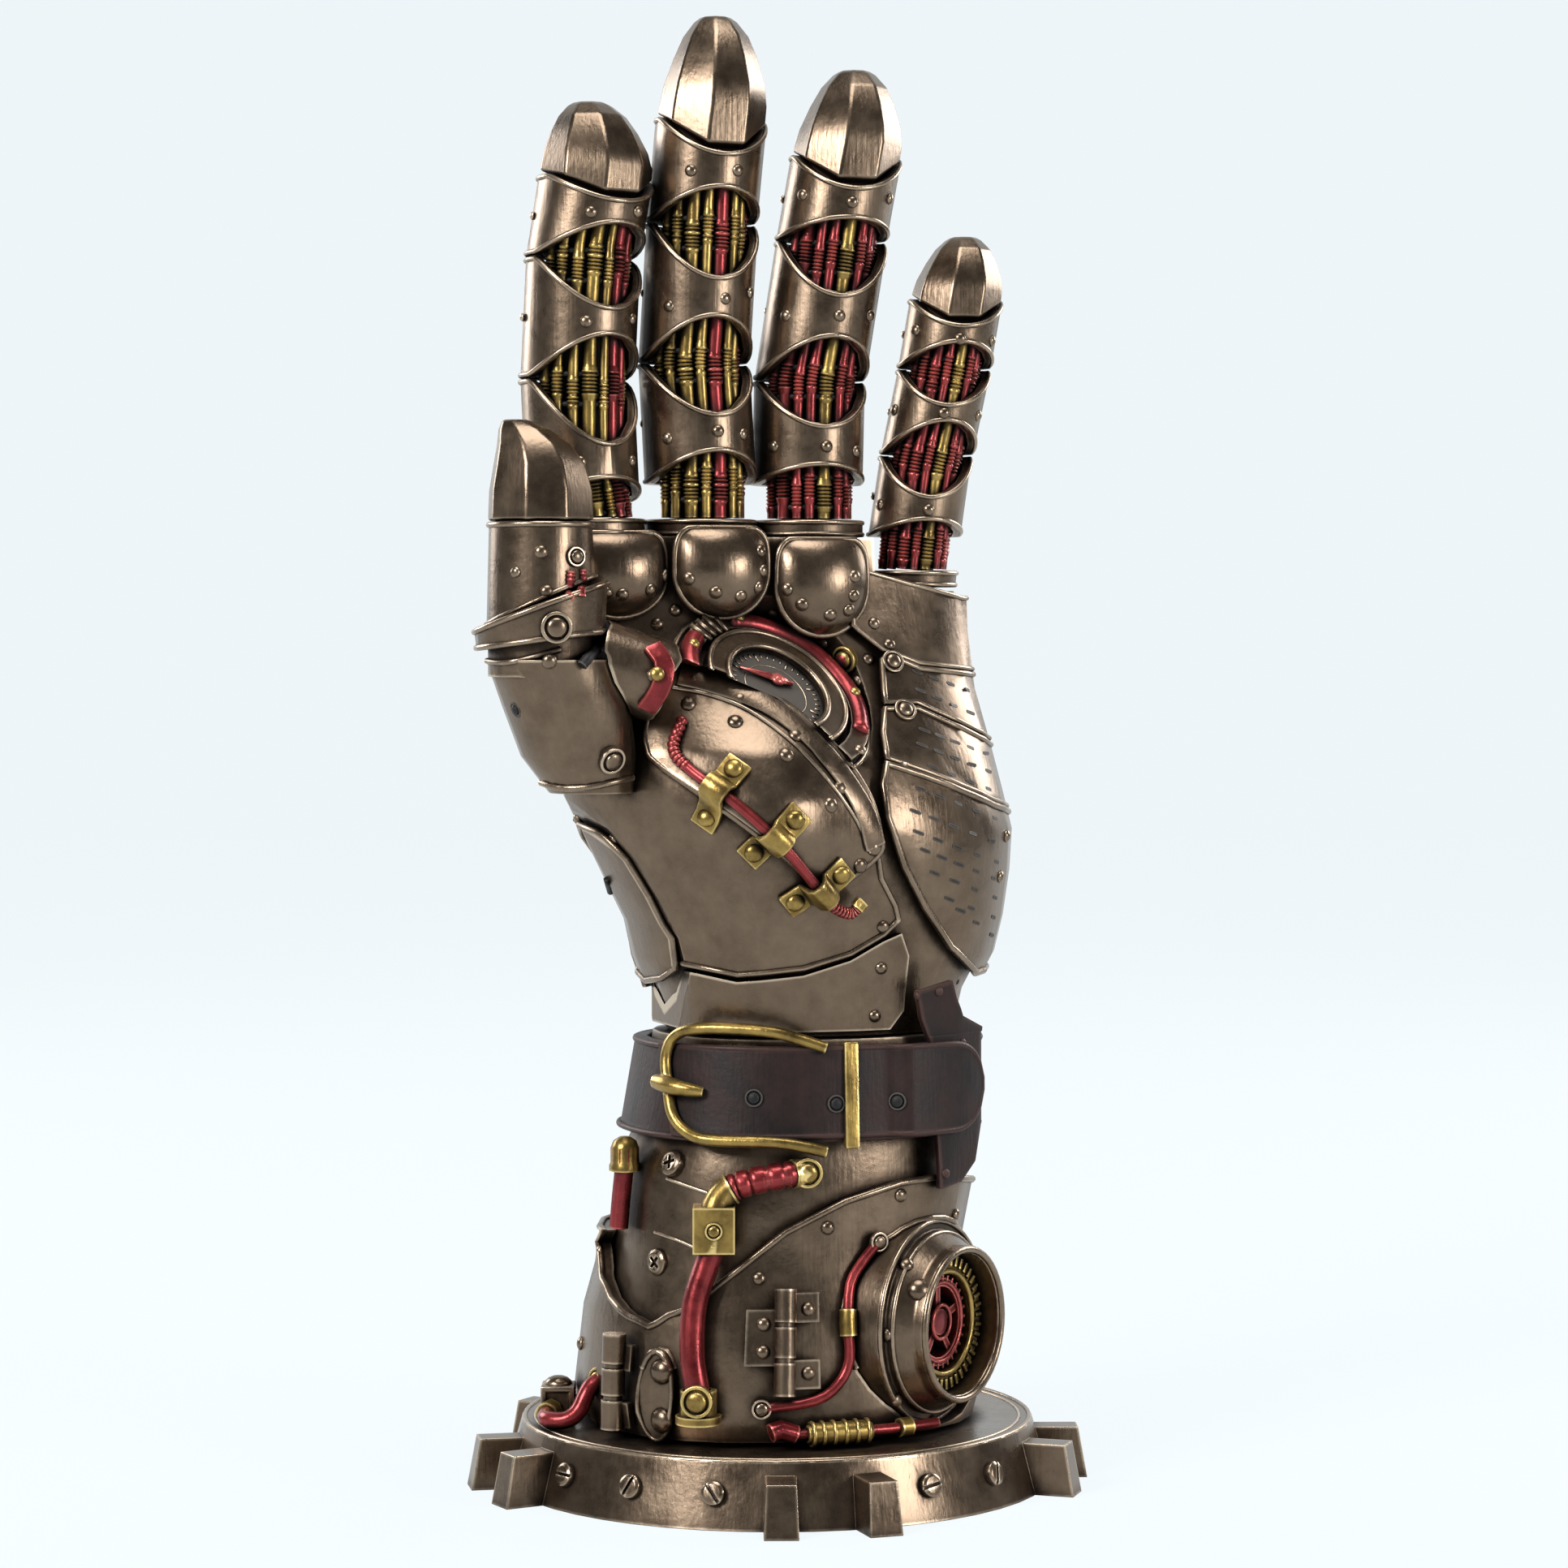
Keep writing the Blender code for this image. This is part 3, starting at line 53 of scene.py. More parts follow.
def makeCamera():
    spot = Vector(cameraPlan["spot"]) * mm
    aim = Vector(cameraPlan["aim"]) * mm
    bpy.ops.object.camera_add(location=spot)
    camera = bpy.context.object
    camera.name = "photoCamera"
    camera.rotation_euler = (aim - spot).to_track_quat("-Z", "Y").to_euler()
    camera.data.sensor_width = cameraPlan["sensor"]
    camera.data.lens = cameraPlan["sensor"] * cameraPlan["focal"] / cameraPlan["width"]
    camera.data.clip_start = cameraPlan["near"]
    bpy.context.scene.camera = camera
    bpy.context.view_layer.update()
    return camera


camera = makeCamera()
cameraTurn = camera.matrix_world.to_3x3()

# The skin of forearm and hand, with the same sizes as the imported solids.
# Swells of the palm: rise, middle across and up, and width and height as shares of the hand's
palmTurn = math.radians(20.0)
skin = {
    "foot": 12.8, "wrist": 89.5, "heel": 96.0, "forearmWide": 37.0, "forearmDeep": 32.0,
    "handWide": 47.0, "handTall": 90.0, "handDeep": 30.0, "power": 2.3,
    "swells": ((9.0, -0.34, 0.36, 0.45, 0.22), (5.0, 0.57, 0.32, 0.32, 0.26)),
}
# Rows go up the limb: share of its height, then left, right, front and back as shares of its wide and deep
forearmRows = ((0.00, 0.95, 0.95, 1.00, 1.00), (0.08, 0.99, 0.99, 1.05, 1.05),
               (0.29, 0.94, 0.94, 1.00, 1.00), (0.43, 0.86, 0.88, 0.93, 0.92),
               (0.54, 0.85, 0.93, 0.93, 0.89), (0.67, 0.84, 0.99, 0.92, 0.83),
               (0.77, 0.74, 1.00, 0.87, 0.78), (1.00, 0.66, 1.01, 0.83, 0.70))
handRows = ((-0.067, 0.52, 0.81, 0.86, 0.75), (0.01, 0.56, 0.85, 0.86, 0.73),
            (0.09, 0.62, 0.94, 0.87, 0.70), (0.17, 0.66, 0.98, 0.88, 0.67), (0.27, 0.76, 1.01, 0.90, 0.63),
            (0.36, 0.85, 1.02, 0.93, 0.60), (0.44, 0.93, 0.98, 0.93, 0.58), (0.54, 0.96, 0.93, 0.88, 0.57),
            (0.67, 0.98, 0.87, 0.68, 0.55), (0.80, 1.00, 0.85, 0.52, 0.53), (0.91, 1.02, 0.85, 0.44, 0.50),
            (1.00, 1.02, 0.85, 0.42, 0.47))


def inPalm(across, up, out):  # all in millimetres
    c = math.cos(palmTurn)
    s = math.sin(palmTurn)
    return Vector((c * across + s * out, s * across - c * out, up)) * mm


def readRows(rows, height):
    if height <= rows[0][0]:
        return rows[0][1:]
    for low, high in zip(rows, rows[1:]):
        if height <= high[0]:
            part = (height - low[0]) / (high[0] - low[0])
            return tuple(a + (b - a) * part for a, b in zip(low[1:], high[1:]))
    return rows[-1][1:]


def skinReach(height):
    if height < skin["wrist"]:
        rows = readRows(forearmRows, (height - skin["foot"]) / (skin["wrist"] - skin["foot"]))
        wide, deep = skin["forearmWide"], skin["forearmDeep"]
    else:
        rows = readRows(handRows, (height - skin["heel"]) / skin["handTall"])
        wide, deep = skin["handWide"], skin["handDeep"]
    return rows[0] * wide, rows[1] * wide, rows[2] * deep, rows[3] * deep


def palmSwell(across, height):
    if height < skin["wrist"]:
        return 0.0
    side = across / skin["handWide"]
    up = (height - skin["heel"]) / skin["handTall"]
    return sum(rise * math.exp(-(((side - mid) / wide) ** 2) - ((up - middle) / tall) ** 2)
               for rise, mid, middle, wide, tall in skin["swells"])


def around(angle, height, grow):  # degrees from the front towards the right, millimetres
    left, right, front, back = skinReach(height)
    turn = math.radians(90.0 - angle) + palmTurn
    c = math.cos(turn)
    s = math.sin(turn)
    power = 2 / skin["power"]
    across = (right - left) / 2 + math.copysign(abs(c) ** power, c) * ((left + right) / 2 + grow)
    out = math.copysign(abs(s) ** power, s) * ((front if s > 0 else back) + grow)
    if s > 0:
        out += palmSwell(across, height) * s
    return inPalm(across, height, out)


def onFront(across, height, grow):
    left, right, front, back = skinReach(height)
    half = (left + right) / 2 + grow
    share = min(0.999, abs(across - (right - left) / 2) / half)
    depth = (front + grow) * (1 - share ** skin["power"]) ** (1 / skin["power"])
    lift = (1 - share ** skin["power"]) ** 0.5
    return inPalm(across, height, depth + palmSwell(across, height) * lift)


# Selecting, joining and finishing pieces
def deselect():
    if bpy.context.object and bpy.context.object.mode != "OBJECT":
        bpy.ops.object.mode_set(mode="OBJECT")
    bpy.ops.object.select_all(action="DESELECT")


def hold(*pieces):
    deselect()
    for piece in pieces:
        piece.select_set(True)
    bpy.context.view_layer.objects.active = pieces[0]


def settle(piece):  # place, turn and scale go into the mesh
    hold(piece)
    bpy.ops.object.transform_apply(location=True, rotation=True, scale=True)


def applyStep(piece, kind, **values):
    step = piece.modifiers.new(kind.lower(), kind)
    for key, value in values.items():
        setattr(step, key, value)
    hold(piece)
    bpy.ops.object.modifier_apply(modifier=step.name)


def finish(piece, name, look, stands=(), smooth=40.0):  # the look becomes the piece's only material
    hold(piece)
    piece.name = name
    piece.data.name = name
    piece.data.materials.clear()
    piece.data.materials.append(look)
    bpy.ops.object.shade_smooth_by_angle(angle=math.radians(smooth))
    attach(piece, "root")
    if stands:
        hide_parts(*stands)
    return piece


weldGap = 0.02 * mm
flatTurn = math.radians(1.0)  # faces that turn less than this are one face


def copyNode(name):
    source = nodes[name]
    mesh = source.data.copy()
    mesh.transform(source.matrix_world)
    piece = bpy.data.objects.new(name + "Copy", mesh)
    bpy.context.scene.collection.objects.link(piece)
    hold(piece)
    bpy.ops.object.mode_set(mode="EDIT")
    bpy.ops.mesh.select_all(action="SELECT")
    bpy.ops.mesh.remove_doubles(threshold=weldGap)
    bpy.ops.mesh.dissolve_limited(angle_limit=flatTurn)
    bpy.ops.object.mode_set(mode="OBJECT")
    if name == "lower_cuff":
        cutScallop(piece)
    return piece


def cutWith(piece, cutter, operation="DIFFERENCE"):
    applyStep(piece, "BOOLEAN", operation=operation, solver="EXACT", object=cutter)
    bpy.data.objects.remove(cutter, do_unlink=True)


# Round bowl in the cuff's upper edge, by its places in the photo, and how far the cut goes in and out
scallop = {"in": 6.0, "out": 9.0,
           "edge": ((734, 1480), (737, 1530), (741, 1570), (753, 1600), (774, 1622), (800, 1635), (824, 1621),
                    (852, 1596), (810, 1560), (780, 1490))}


def cutScallop(piece):
    rings = ([], [])
    for px, py in scallop["edge"]:
        hit = seen(px, py, ["lower_cuff", "forearm_core"])
        if hit:
            away = Vector((hit[0].x, hit[0].y, 0.0)).normalized()
            rings[0].append(hit[0] - away * scallop["in"] * mm)
            rings[1].append(hit[0] + away * scallop["out"] * mm)
    cutWith(piece, loftPiece("scallopCutter", rings))


def joined(pieces):
    hold(*pieces)
    if len(pieces) > 1:
        bpy.ops.object.join()
    return bpy.context.object


def rod(points, radius, radii=None, closed=False):
    curve = bpy.data.curves.new("rodLine", "CURVE")
    curve.dimensions = "3D"
    line = curve.splines.new("POLY")
    line.points.add(len(points) - 1)
    for k, point in enumerate(points):
        line.points[k].co = (*point, 1.0)
        line.points[k].radius = radii[k] if radii else 1.0
    line.use_cyclic_u = closed
    curve.bevel_depth = radius
    curve.bevel_resolution = 2
    curve.use_fill_caps = not closed
    piece = bpy.data.objects.new("rodLine", curve)
    bpy.context.scene.collection.objects.link(piece)
    hold(piece)
    bpy.ops.object.convert(target="MESH")
    return bpy.context.object


def smoothLine(points, perLeg=4, closed=False):
    spots = [Vector(point) for point in points]
    if closed:
        ends = [spots[-1]] + spots + spots[:2]
    else:
        ends = [2 * spots[0] - spots[1]] + spots + [2 * spots[-1] - spots[-2]]
    line = []
    for i in range(1, len(ends) - 2):
        a, b, c, d = ends[i - 1:i + 3]
        for k in range(perLeg):
            t = k / perLeg
            line.append(0.5 * (2 * b + (c - a) * t + (2 * a - 5 * b + 4 * c - d) * t * t
                               + (3 * b - a - 3 * c + d) * t * t * t))
    if not closed:
        line.append(spots[-1])
    return line


def aimed(point, normal, size=1.0, spin=0.0):
    turn = Vector(normal).to_track_quat("Z", "Y").to_matrix().to_4x4()
    return Matrix.Translation(point) @ turn @ Matrix.Rotation(spin, 4, "Z") @ Matrix.Scale(size, 4)


def stamped(template, places):  # one copy with its own mesh at each place, joined
    copies = []
    for place in places:
        mesh = template.data.copy()
        mesh.transform(place)
        copy = bpy.data.objects.new(template.name + "Stamp", mesh)
        bpy.context.scene.collection.objects.link(copy)
        copies.append(copy)
    return joined(copies)


def ringAt(place, radius, height=0.0, count=48):  # a circle round a placed axis, in millimetres
    turns = [2 * math.pi * k / count for k in range(count)]
    return [place @ (Vector((radius * math.cos(t), radius * math.sin(t), height)) * mm) for t in turns]


def spokesAt(place, inner, outer, height, count, thick):  # short rods from one circle out to another
    ends = zip(ringAt(place, inner, height, count), ringAt(place, outer, height, count))
    return [([low, high], thick, False) for low, high in ends]


def pieceFrom(form, name):
    mesh = bpy.data.meshes.new(name)
    form.to_mesh(mesh)
    form.free()
    piece = bpy.data.objects.new(name, mesh)
    bpy.context.scene.collection.objects.link(piece)
    return piece


def loftPiece(name, rings):
    form = bmesh.new()
    rows = [[form.verts.new(point) for point in ring] for ring in rings]
    count = len(rows[0])
    for low, high in zip(rows, rows[1:]):
        for i in range(count):
            form.faces.new((low[i], low[(i + 1) % count], high[(i + 1) % count], high[i]))
    form.faces.new(list(reversed(rows[0])))
    form.faces.new(rows[-1])
    bmesh.ops.recalc_face_normals(form, faces=form.faces)
    return pieceFrom(form, name)


# Places read off the photo, put on the solid that carries them
trees = {}


def carryTree(name, piece):  # a new piece that carries details itself
    trees[name] = BVHTree.FromPolygons([vert.co.copy() for vert in piece.data.vertices],
                                       [tuple(face.vertices) for face in piece.data.polygons])


def treeOf(name):
    if name not in trees:
        node = nodes[name]
        spots = [node.matrix_world @ vert.co for vert in node.data.vertices]
        trees[name] = BVHTree.FromPolygons(spots, [tuple(face.vertices) for face in node.data.polygons])
    return trees[name]


def seen(px, py, names):  # point and normal under a photo pixel on the named nodes, or nothing
    middle = cameraPlan["width"] / 2
    way = (cameraTurn @ Vector((px - middle, middle - py, -cameraPlan["focal"]))).normalized()
    best = None
    for name in names:
        point, normal, face, far = treeOf(name).ray_cast(camera.location, way)
        if point and (best is None or far < best[2]):
            best = (point, normal, far)
    return best[:2] if best else None


def seenLine(pixels, names, lift, perLeg=5):
    flat = smoothLine([(px, py, 0.0) for px, py in pixels], perLeg)
    line = []
    for spot in flat:
        hit = seen(spot.x, spot.y, names)
        if hit:
            line.append(hit[0] + hit[1] * lift * mm)
    return line


print("camera, skin and helpers ready")


# Cast finish: recesses get a dark wash together with painted shade from occlusion, and convex edges are
# rubbed bright with a painted highlight
patinaAndPaintedLightPlan = {"cloud": 130.0, "cloudDetail": 6.0, "cloudRough": 0.65, "fineDetail": 3.0,
              "scratch": 1500.0, "scratchDetail": 2.0, "scratchTurn": (0.3, 0.5, 0.7), "scratchStretch": 0.06,
              "washShadeFrom": 0.90, "washShadeTo": 0.42, "rubHighlightFrom": 0.09, "rubHighlightTo": 0.44, "rubHighlightCloud": 1.6,
              "rubHighlightBase": 0.6}


# Masks for the cast finish: dark wash with painted shade in recesses, rubbed wear with painted highlight on
# edges, cloudy tone and bumps
def patinaAndPaintedLightGroup():
    group = bpy.data.node_groups.new("castPatinaAndPaintedLight", "ShaderNodeTree")
    face = group.interface
    for name, value in (("Shade", 1.0), ("Ridge", 1.0), ("WashShade", 1.0), ("RubHighlight", 1.0), ("Grain", 900.0)):
        face.new_socket(name, in_out="INPUT", socket_type="NodeSocketFloat").default_value = value
    for name in ("WashShadeMask", "RubHighlightMask", "Mottle", "Height"):
        face.new_socket(name, in_out="OUTPUT", socket_type="NodeSocketFloat")
    tree = group.nodes
    link = group.links.new
    start = tree.new("NodeGroupInput")
    end = tree.new("NodeGroupOutput")
    coords = tree.new("ShaderNodeTexCoord")
    cloud = tree.new("ShaderNodeTexNoise")
    cloud.inputs["Scale"].default_value = patinaAndPaintedLightPlan["cloud"]
    cloud.inputs["Detail"].default_value = patinaAndPaintedLightPlan["cloudDetail"]
    cloud.inputs["Roughness"].default_value = patinaAndPaintedLightPlan["cloudRough"]
    link(coords.outputs["Object"], cloud.inputs["Vector"])
    fine = tree.new("ShaderNodeTexNoise")
    fine.inputs["Detail"].default_value = patinaAndPaintedLightPlan["fineDetail"]
    link(coords.outputs["Object"], fine.inputs["Vector"])
    link(start.outputs["Grain"], fine.inputs["Scale"])
    stretch = tree.new("ShaderNodeMapping")
    stretch.inputs["Rotation"].default_value = patinaAndPaintedLightPlan["scratchTurn"]
    stretch.inputs["Scale"].default_value = (1.0, 1.0, patinaAndPaintedLightPlan["scratchStretch"])
    link(coords.outputs["Object"], stretch.inputs["Vector"])
    scratch = tree.new("ShaderNodeTexNoise")
    scratch.inputs["Scale"].default_value = patinaAndPaintedLightPlan["scratch"]
    scratch.inputs["Detail"].default_value = patinaAndPaintedLightPlan["scratchDetail"]
    link(stretch.outputs["Vector"], scratch.inputs["Vector"])

    def sumNode(kind, a, b, clamp=False):
        node = tree.new("ShaderNodeMath")
        node.operation = kind
        node.use_clamp = clamp
        for socket, value in zip(node.inputs, (a, b)):
            if isinstance(value, (int, float)):
                socket.default_value = value
            else:
                link(value, socket)
        return node.outputs[0]

    def fadeNode(value, start, end):
        node = tree.new("ShaderNodeMapRange")
        node.interpolation_type = "SMOOTHSTEP"
        node.inputs["From Min"].default_value = start
        node.inputs["From Max"].default_value = end
        link(value, node.inputs["Value"])
        return node.outputs[0]

    # Painted shade: occlusion from outside, made patchy by the cloud, darkens recesses and gaps between
    # parts, as dark wash and shade together
    drift = sumNode("MULTIPLY", sumNode("SUBTRACT", cloud.outputs[0], 0.5), 0.5)
    shade = sumNode("ADD", start.outputs["Shade"], drift)
    dark = fadeNode(shade, patinaAndPaintedLightPlan["washShadeFrom"], patinaAndPaintedLightPlan["washShadeTo"])
    washShadeMask = sumNode("MULTIPLY", dark, start.outputs["WashShade"], True)
    # Painted highlight: occlusion from inside finds convex edges, which get rubbed wear and a painted
    # highlight together
    ridge = sumNode("SUBTRACT", 1.0, start.outputs["Ridge"])
    patches = sumNode("MULTIPLY", cloud.outputs[0], patinaAndPaintedLightPlan["rubHighlightCloud"])
    patches = sumNode("ADD", patches, patinaAndPaintedLightPlan["rubHighlightBase"])
    bright = fadeNode(sumNode("MULTIPLY", ridge, patches), patinaAndPaintedLightPlan["rubHighlightFrom"], patinaAndPaintedLightPlan["rubHighlightTo"])
    edge = sumNode("MULTIPLY", bright, start.outputs["RubHighlight"], True)
    halfFine = sumNode("MULTIPLY", fine.outputs[0], 0.5)
    height = sumNode("ADD", halfFine, sumNode("MULTIPLY", scratch.outputs[0], 0.5))
    link(washShadeMask, end.inputs["WashShadeMask"])
    link(edge, end.inputs["RubHighlightMask"])
    link(cloud.outputs[0], end.inputs["Mottle"])
    link(height, end.inputs["Height"])
    return group


patinaAndPaintedLight = patinaAndPaintedLightGroup()


lookPlan = {"shadeSamples": 6, "deepAt": 0.28, "toneAt": 0.74, "shineFrom": 0.3, "shineTo": 0.7,
            "smoother": 0.05, "rougher": 0.08, "washRough": 0.62, "bumpDepth": 0.12}


def castLook(name, plan):
    look = bpy.data.materials.new(name)
    look.use_nodes = True
    tree = look.node_tree.nodes
    link = look.node_tree.links.new
    shader = tree["Principled BSDF"]
    # This node gives the painted shade and painted highlight masks along with the wear and tone
    wearAndPaintedLight = tree.new("ShaderNodeGroup")
    wearAndPaintedLight.node_tree = patinaAndPaintedLight
    wearAndPaintedLight.inputs["WashShade"].default_value = plan["washShade"]
    wearAndPaintedLight.inputs["RubHighlight"].default_value = plan["rubHighlight"]
    # Occlusion from outside paints shade into recesses (Shade); occlusion from inside finds convex edges for
    # the painted highlight (Ridge)
    for socket, inside, reach in (("Shade", False, plan["reach"]), ("Ridge", True, plan["edge"])):
        shade = tree.new("ShaderNodeAmbientOcclusion")
        shade.samples = lookPlan["shadeSamples"]
        shade.inside = inside
        shade.only_local = inside
        shade.inputs["Distance"].default_value = reach * mm
        link(shade.outputs["AO"], wearAndPaintedLight.inputs[socket])
    body = tree.new("ShaderNodeValToRGB")  # cloudy change of the metal's own tone
    for stop, at, tint in zip(body.color_ramp.elements, ("deepAt", "toneAt"), ("deep", "tone")):
        stop.position = lookPlan[at]
        stop.color = (*plan[tint], 1.0)
    link(wearAndPaintedLight.outputs["Mottle"], body.inputs["Fac"])
    colour = body.outputs["Color"]
    # Convex edges get the rubbed wear and painted highlight tint, recesses the dark wash and painted shade
    # tint
    for mask, tint in (("RubHighlightMask", plan["bright"]), ("WashShadeMask", plan["dark"])):
        mix = tree.new("ShaderNodeMix")
        mix.data_type = "RGBA"
        link(wearAndPaintedLight.outputs[mask], mix.inputs["Factor"])
        link(colour, mix.inputs["A"])
        mix.inputs["B"].default_value = (*tint, 1.0)
        colour = mix.outputs["Result"]
    link(colour, shader.inputs["Base Color"])
    shine = tree.new("ShaderNodeMapRange")
    shine.inputs["From Min"].default_value = lookPlan["shineFrom"]
    shine.inputs["From Max"].default_value = lookPlan["shineTo"]
    shine.inputs["To Min"].default_value = plan["rough"] - lookPlan["smoother"]
    shine.inputs["To Max"].default_value = plan["rough"] + lookPlan["rougher"]
    link(wearAndPaintedLight.outputs["Mottle"], shine.inputs["Value"])
    dull = tree.new("ShaderNodeMix")
    link(wearAndPaintedLight.outputs["WashShadeMask"], dull.inputs["Factor"])
    link(shine.outputs[0], dull.inputs["A"])
    dull.inputs["B"].default_value = lookPlan["washRough"]
    link(dull.outputs[0], shader.inputs["Roughness"])
    shader.inputs["Metallic"].default_value = plan["metal"]
    shader.inputs["Specular IOR Level"].default_value = plan.get("sheen", 0.5)
    bump = tree.new("ShaderNodeBump")
    bump.inputs["Strength"].default_value = plan["bump"]
    bump.inputs["Distance"].default_value = lookPlan["bumpDepth"] * mm
    link(wearAndPaintedLight.outputs["Height"], bump.inputs["Height"])
    link(bump.outputs["Normal"], shader.inputs["Normal"])
    return look


# Body from deep to tone, convex edges lighter as rubbed wear and painted highlight, recesses darker as dark
# wash and painted shade; reach of wash and rub in millimetres
finishes = {
    "bronze": {"deep": (0.115, 0.080, 0.054), "tone": (0.195, 0.142, 0.098), "bright": (0.56, 0.44, 0.32),
               "dark": (0.013, 0.008, 0.006), "rough": 0.27, "metal": 0.95, "washShade": 1.0, "rubHighlight": 1.0,
               "reach": 4.0, "edge": 0.6, "bump": 0.55},
    "gold": {"deep": (0.10, 0.062, 0.018), "tone": (0.46, 0.31, 0.085), "bright": (0.80, 0.60, 0.24),
             "dark": (0.010, 0.007, 0.004), "rough": 0.30, "metal": 0.85, "washShade": 1.0, "rubHighlight": 1.0,
             "reach": 3.0, "edge": 0.5, "bump": 0.8},
    "red": {"deep": (0.11, 0.010, 0.012), "tone": (0.31, 0.036, 0.038), "bright": (0.66, 0.17, 0.14),
            "dark": (0.010, 0.004, 0.004), "rough": 0.27, "metal": 0.7, "washShade": 1.0, "rubHighlight": 1.0,
            "reach": 3.0, "edge": 0.5, "bump": 0.6},
    "leather": {"deep": (0.006, 0.005, 0.005), "tone": (0.026, 0.011, 0.009), "bright": (0.05, 0.024, 0.019),
                "dark": (0.004, 0.003, 0.003), "rough": 0.46, "metal": 0.0, "washShade": 0.8, "rubHighlight": 1.0,
                "reach": 2.5, "edge": 0.9, "bump": 1.0, "sheen": 0.22},
    # Near-black for dark parts, and painted shade where it fills holes, slots and cuts
    "darkAndPaintedShade": {"deep": (0.006, 0.006, 0.007), "tone": (0.013, 0.012, 0.013), "bright": (0.10, 0.085, 0.07),
             "dark": (0.003, 0.003, 0.003), "rough": 0.5, "metal": 0.0, "washShade": 1.0, "rubHighlight": 0.6,
             "reach": 2.0, "edge": 0.4, "bump": 0.5, "sheen": 0.2},
}
bronze = castLook("castBronze", finishes["bronze"])
gold = castLook("antiqueGold", finishes["gold"])
red = castLook("antiqueRed", finishes["red"])
leather = castLook("darkLeather", finishes["leather"])
darkAndPaintedShade = castLook("darkPartsAndPaintedShade", finishes["darkAndPaintedShade"])
print("finishes ready")


# Stage: pale sweep, pale room and soft round lamps, in metres
stagePlan = {"floor": (0.045, 0.047, 0.048), "glow": (0.84, 0.895, 0.92), "glowPower": 1.0, "floorRough": 0.9,
             "floorShine": 0.1, "world": (0.86, 0.915, 0.94), "worldPower": 0.11,
             "size": 6.0, "forward": 0.5, "wall": 4.0, "bend": 1.6, "rear": 2.9}
lampAim = (0, 0, 0.14)
lightPlan = {  # place, size, power
    "keyLeft": ((-0.75, -0.85, 0.75), 0.5, 17.0),
    "fillRight": ((0.95, -0.65, 0.35), 0.4, 6.5),
    "topSoft": ((0.05, -0.15, 1.15), 0.7, 10.0),
    "rimLeft": ((-0.75, 0.55, 0.45), 0.5, 5.0),
    "rimRight": ((0.75, 0.55, 0.5), 0.5, 6.0),
}


def pickEdges(piece, rule):
    bpy.ops.mesh.select_all(action="DESELECT")
    form = bmesh.from_edit_mesh(piece.data)
    for edge in form.edges:
        edge.select = rule(edge)
    bmesh.update_edit_mesh(piece.data)


def paperLook():
    paper = bpy.data.materials.new("palePaper")
    paper.use_nodes = True
    shader = paper.node_tree.nodes["Principled BSDF"]
    shader.inputs["Base Color"].default_value = (*stagePlan["floor"], 1.0)
    shader.inputs["Roughness"].default_value = stagePlan["floorRough"]
    shader.inputs["Specular IOR Level"].default_value = stagePlan["floorShine"]
    shader.inputs["Emission Color"].default_value = (*stagePlan["glow"], 1.0)
    shader.inputs["Emission Strength"].default_value = stagePlan["glowPower"]
    return paper


def makeFloor():
    deselect()
    bpy.ops.mesh.primitive_plane_add(size=stagePlan["size"], location=(0, -stagePlan["forward"], 0))
    floor = bpy.context.object
    floor.name = "paleSweep"
    rear = stagePlan["rear"]
    bpy.ops.object.mode_set(mode="EDIT")
    pickEdges(floor, lambda edge: all(vert.co.y > rear for vert in edge.verts))
    bpy.ops.mesh.extrude_region_move(TRANSFORM_OT_translate={"value": (0, 0, stagePlan["wall"])})
    pickEdges(floor, lambda edge: all(vert.co.y > rear and vert.co.z < 0.1 for vert in edge.verts))
    bpy.ops.mesh.bevel(offset=stagePlan["bend"], segments=16)
    bpy.ops.object.mode_set(mode="OBJECT")
    settle(floor)
    bpy.ops.object.shade_smooth()
    floor.data.materials.append(paperLook())


def makeRoom():
    world = bpy.data.worlds.new("paleRoom")
    world.use_nodes = True
    back = world.node_tree.nodes["Background"]
    back.inputs["Color"].default_value = (*stagePlan["world"], 1.0)
    tree = world.node_tree
    path = tree.nodes.new("ShaderNodeLightPath")
    power = tree.nodes.new("ShaderNodeMapRange")  # pale to the eye, dim in reflections
    power.inputs["To Min"].default_value = stagePlan["worldPower"]
    power.inputs["To Max"].default_value = 1.0
    tree.links.new(path.outputs["Is Camera Ray"], power.inputs["Value"])
    tree.links.new(power.outputs[0], back.inputs["Strength"])
    bpy.context.scene.world = world
    bpy.context.scene.view_settings.view_transform = "Standard"


def makeLamps():
    for name, (spot, size, power) in lightPlan.items():
        bpy.ops.object.light_add(type="AREA", location=spot)
        lamp = bpy.context.object
        lamp.name = name
        lamp.data.shape = "DISK"
        lamp.data.size = size
        lamp.data.energy = power
        lamp.rotation_euler = (Vector(lampAim) - Vector(spot)).to_track_quat("-Z", "Y").to_euler()


makeFloor()
makeRoom()
makeLamps()
print("stage ready")


# Nodes taken over with rounded, cast edges
def dress(name, look, edge, angle):
    piece = copyNode(name)
    applyStep(piece, "BEVEL", width=edge * mm, segments=2, limit_method="ANGLE",
              angle_limit=math.radians(angle), use_clamp_overlap=True, miter_outer="MITER_ARC")
    finish(piece, name + "Cast", look, stands=(name,), smooth=48.0)
    applyStep(piece, "WEIGHTED_NORMAL", keep_sharp=True, weight=60)


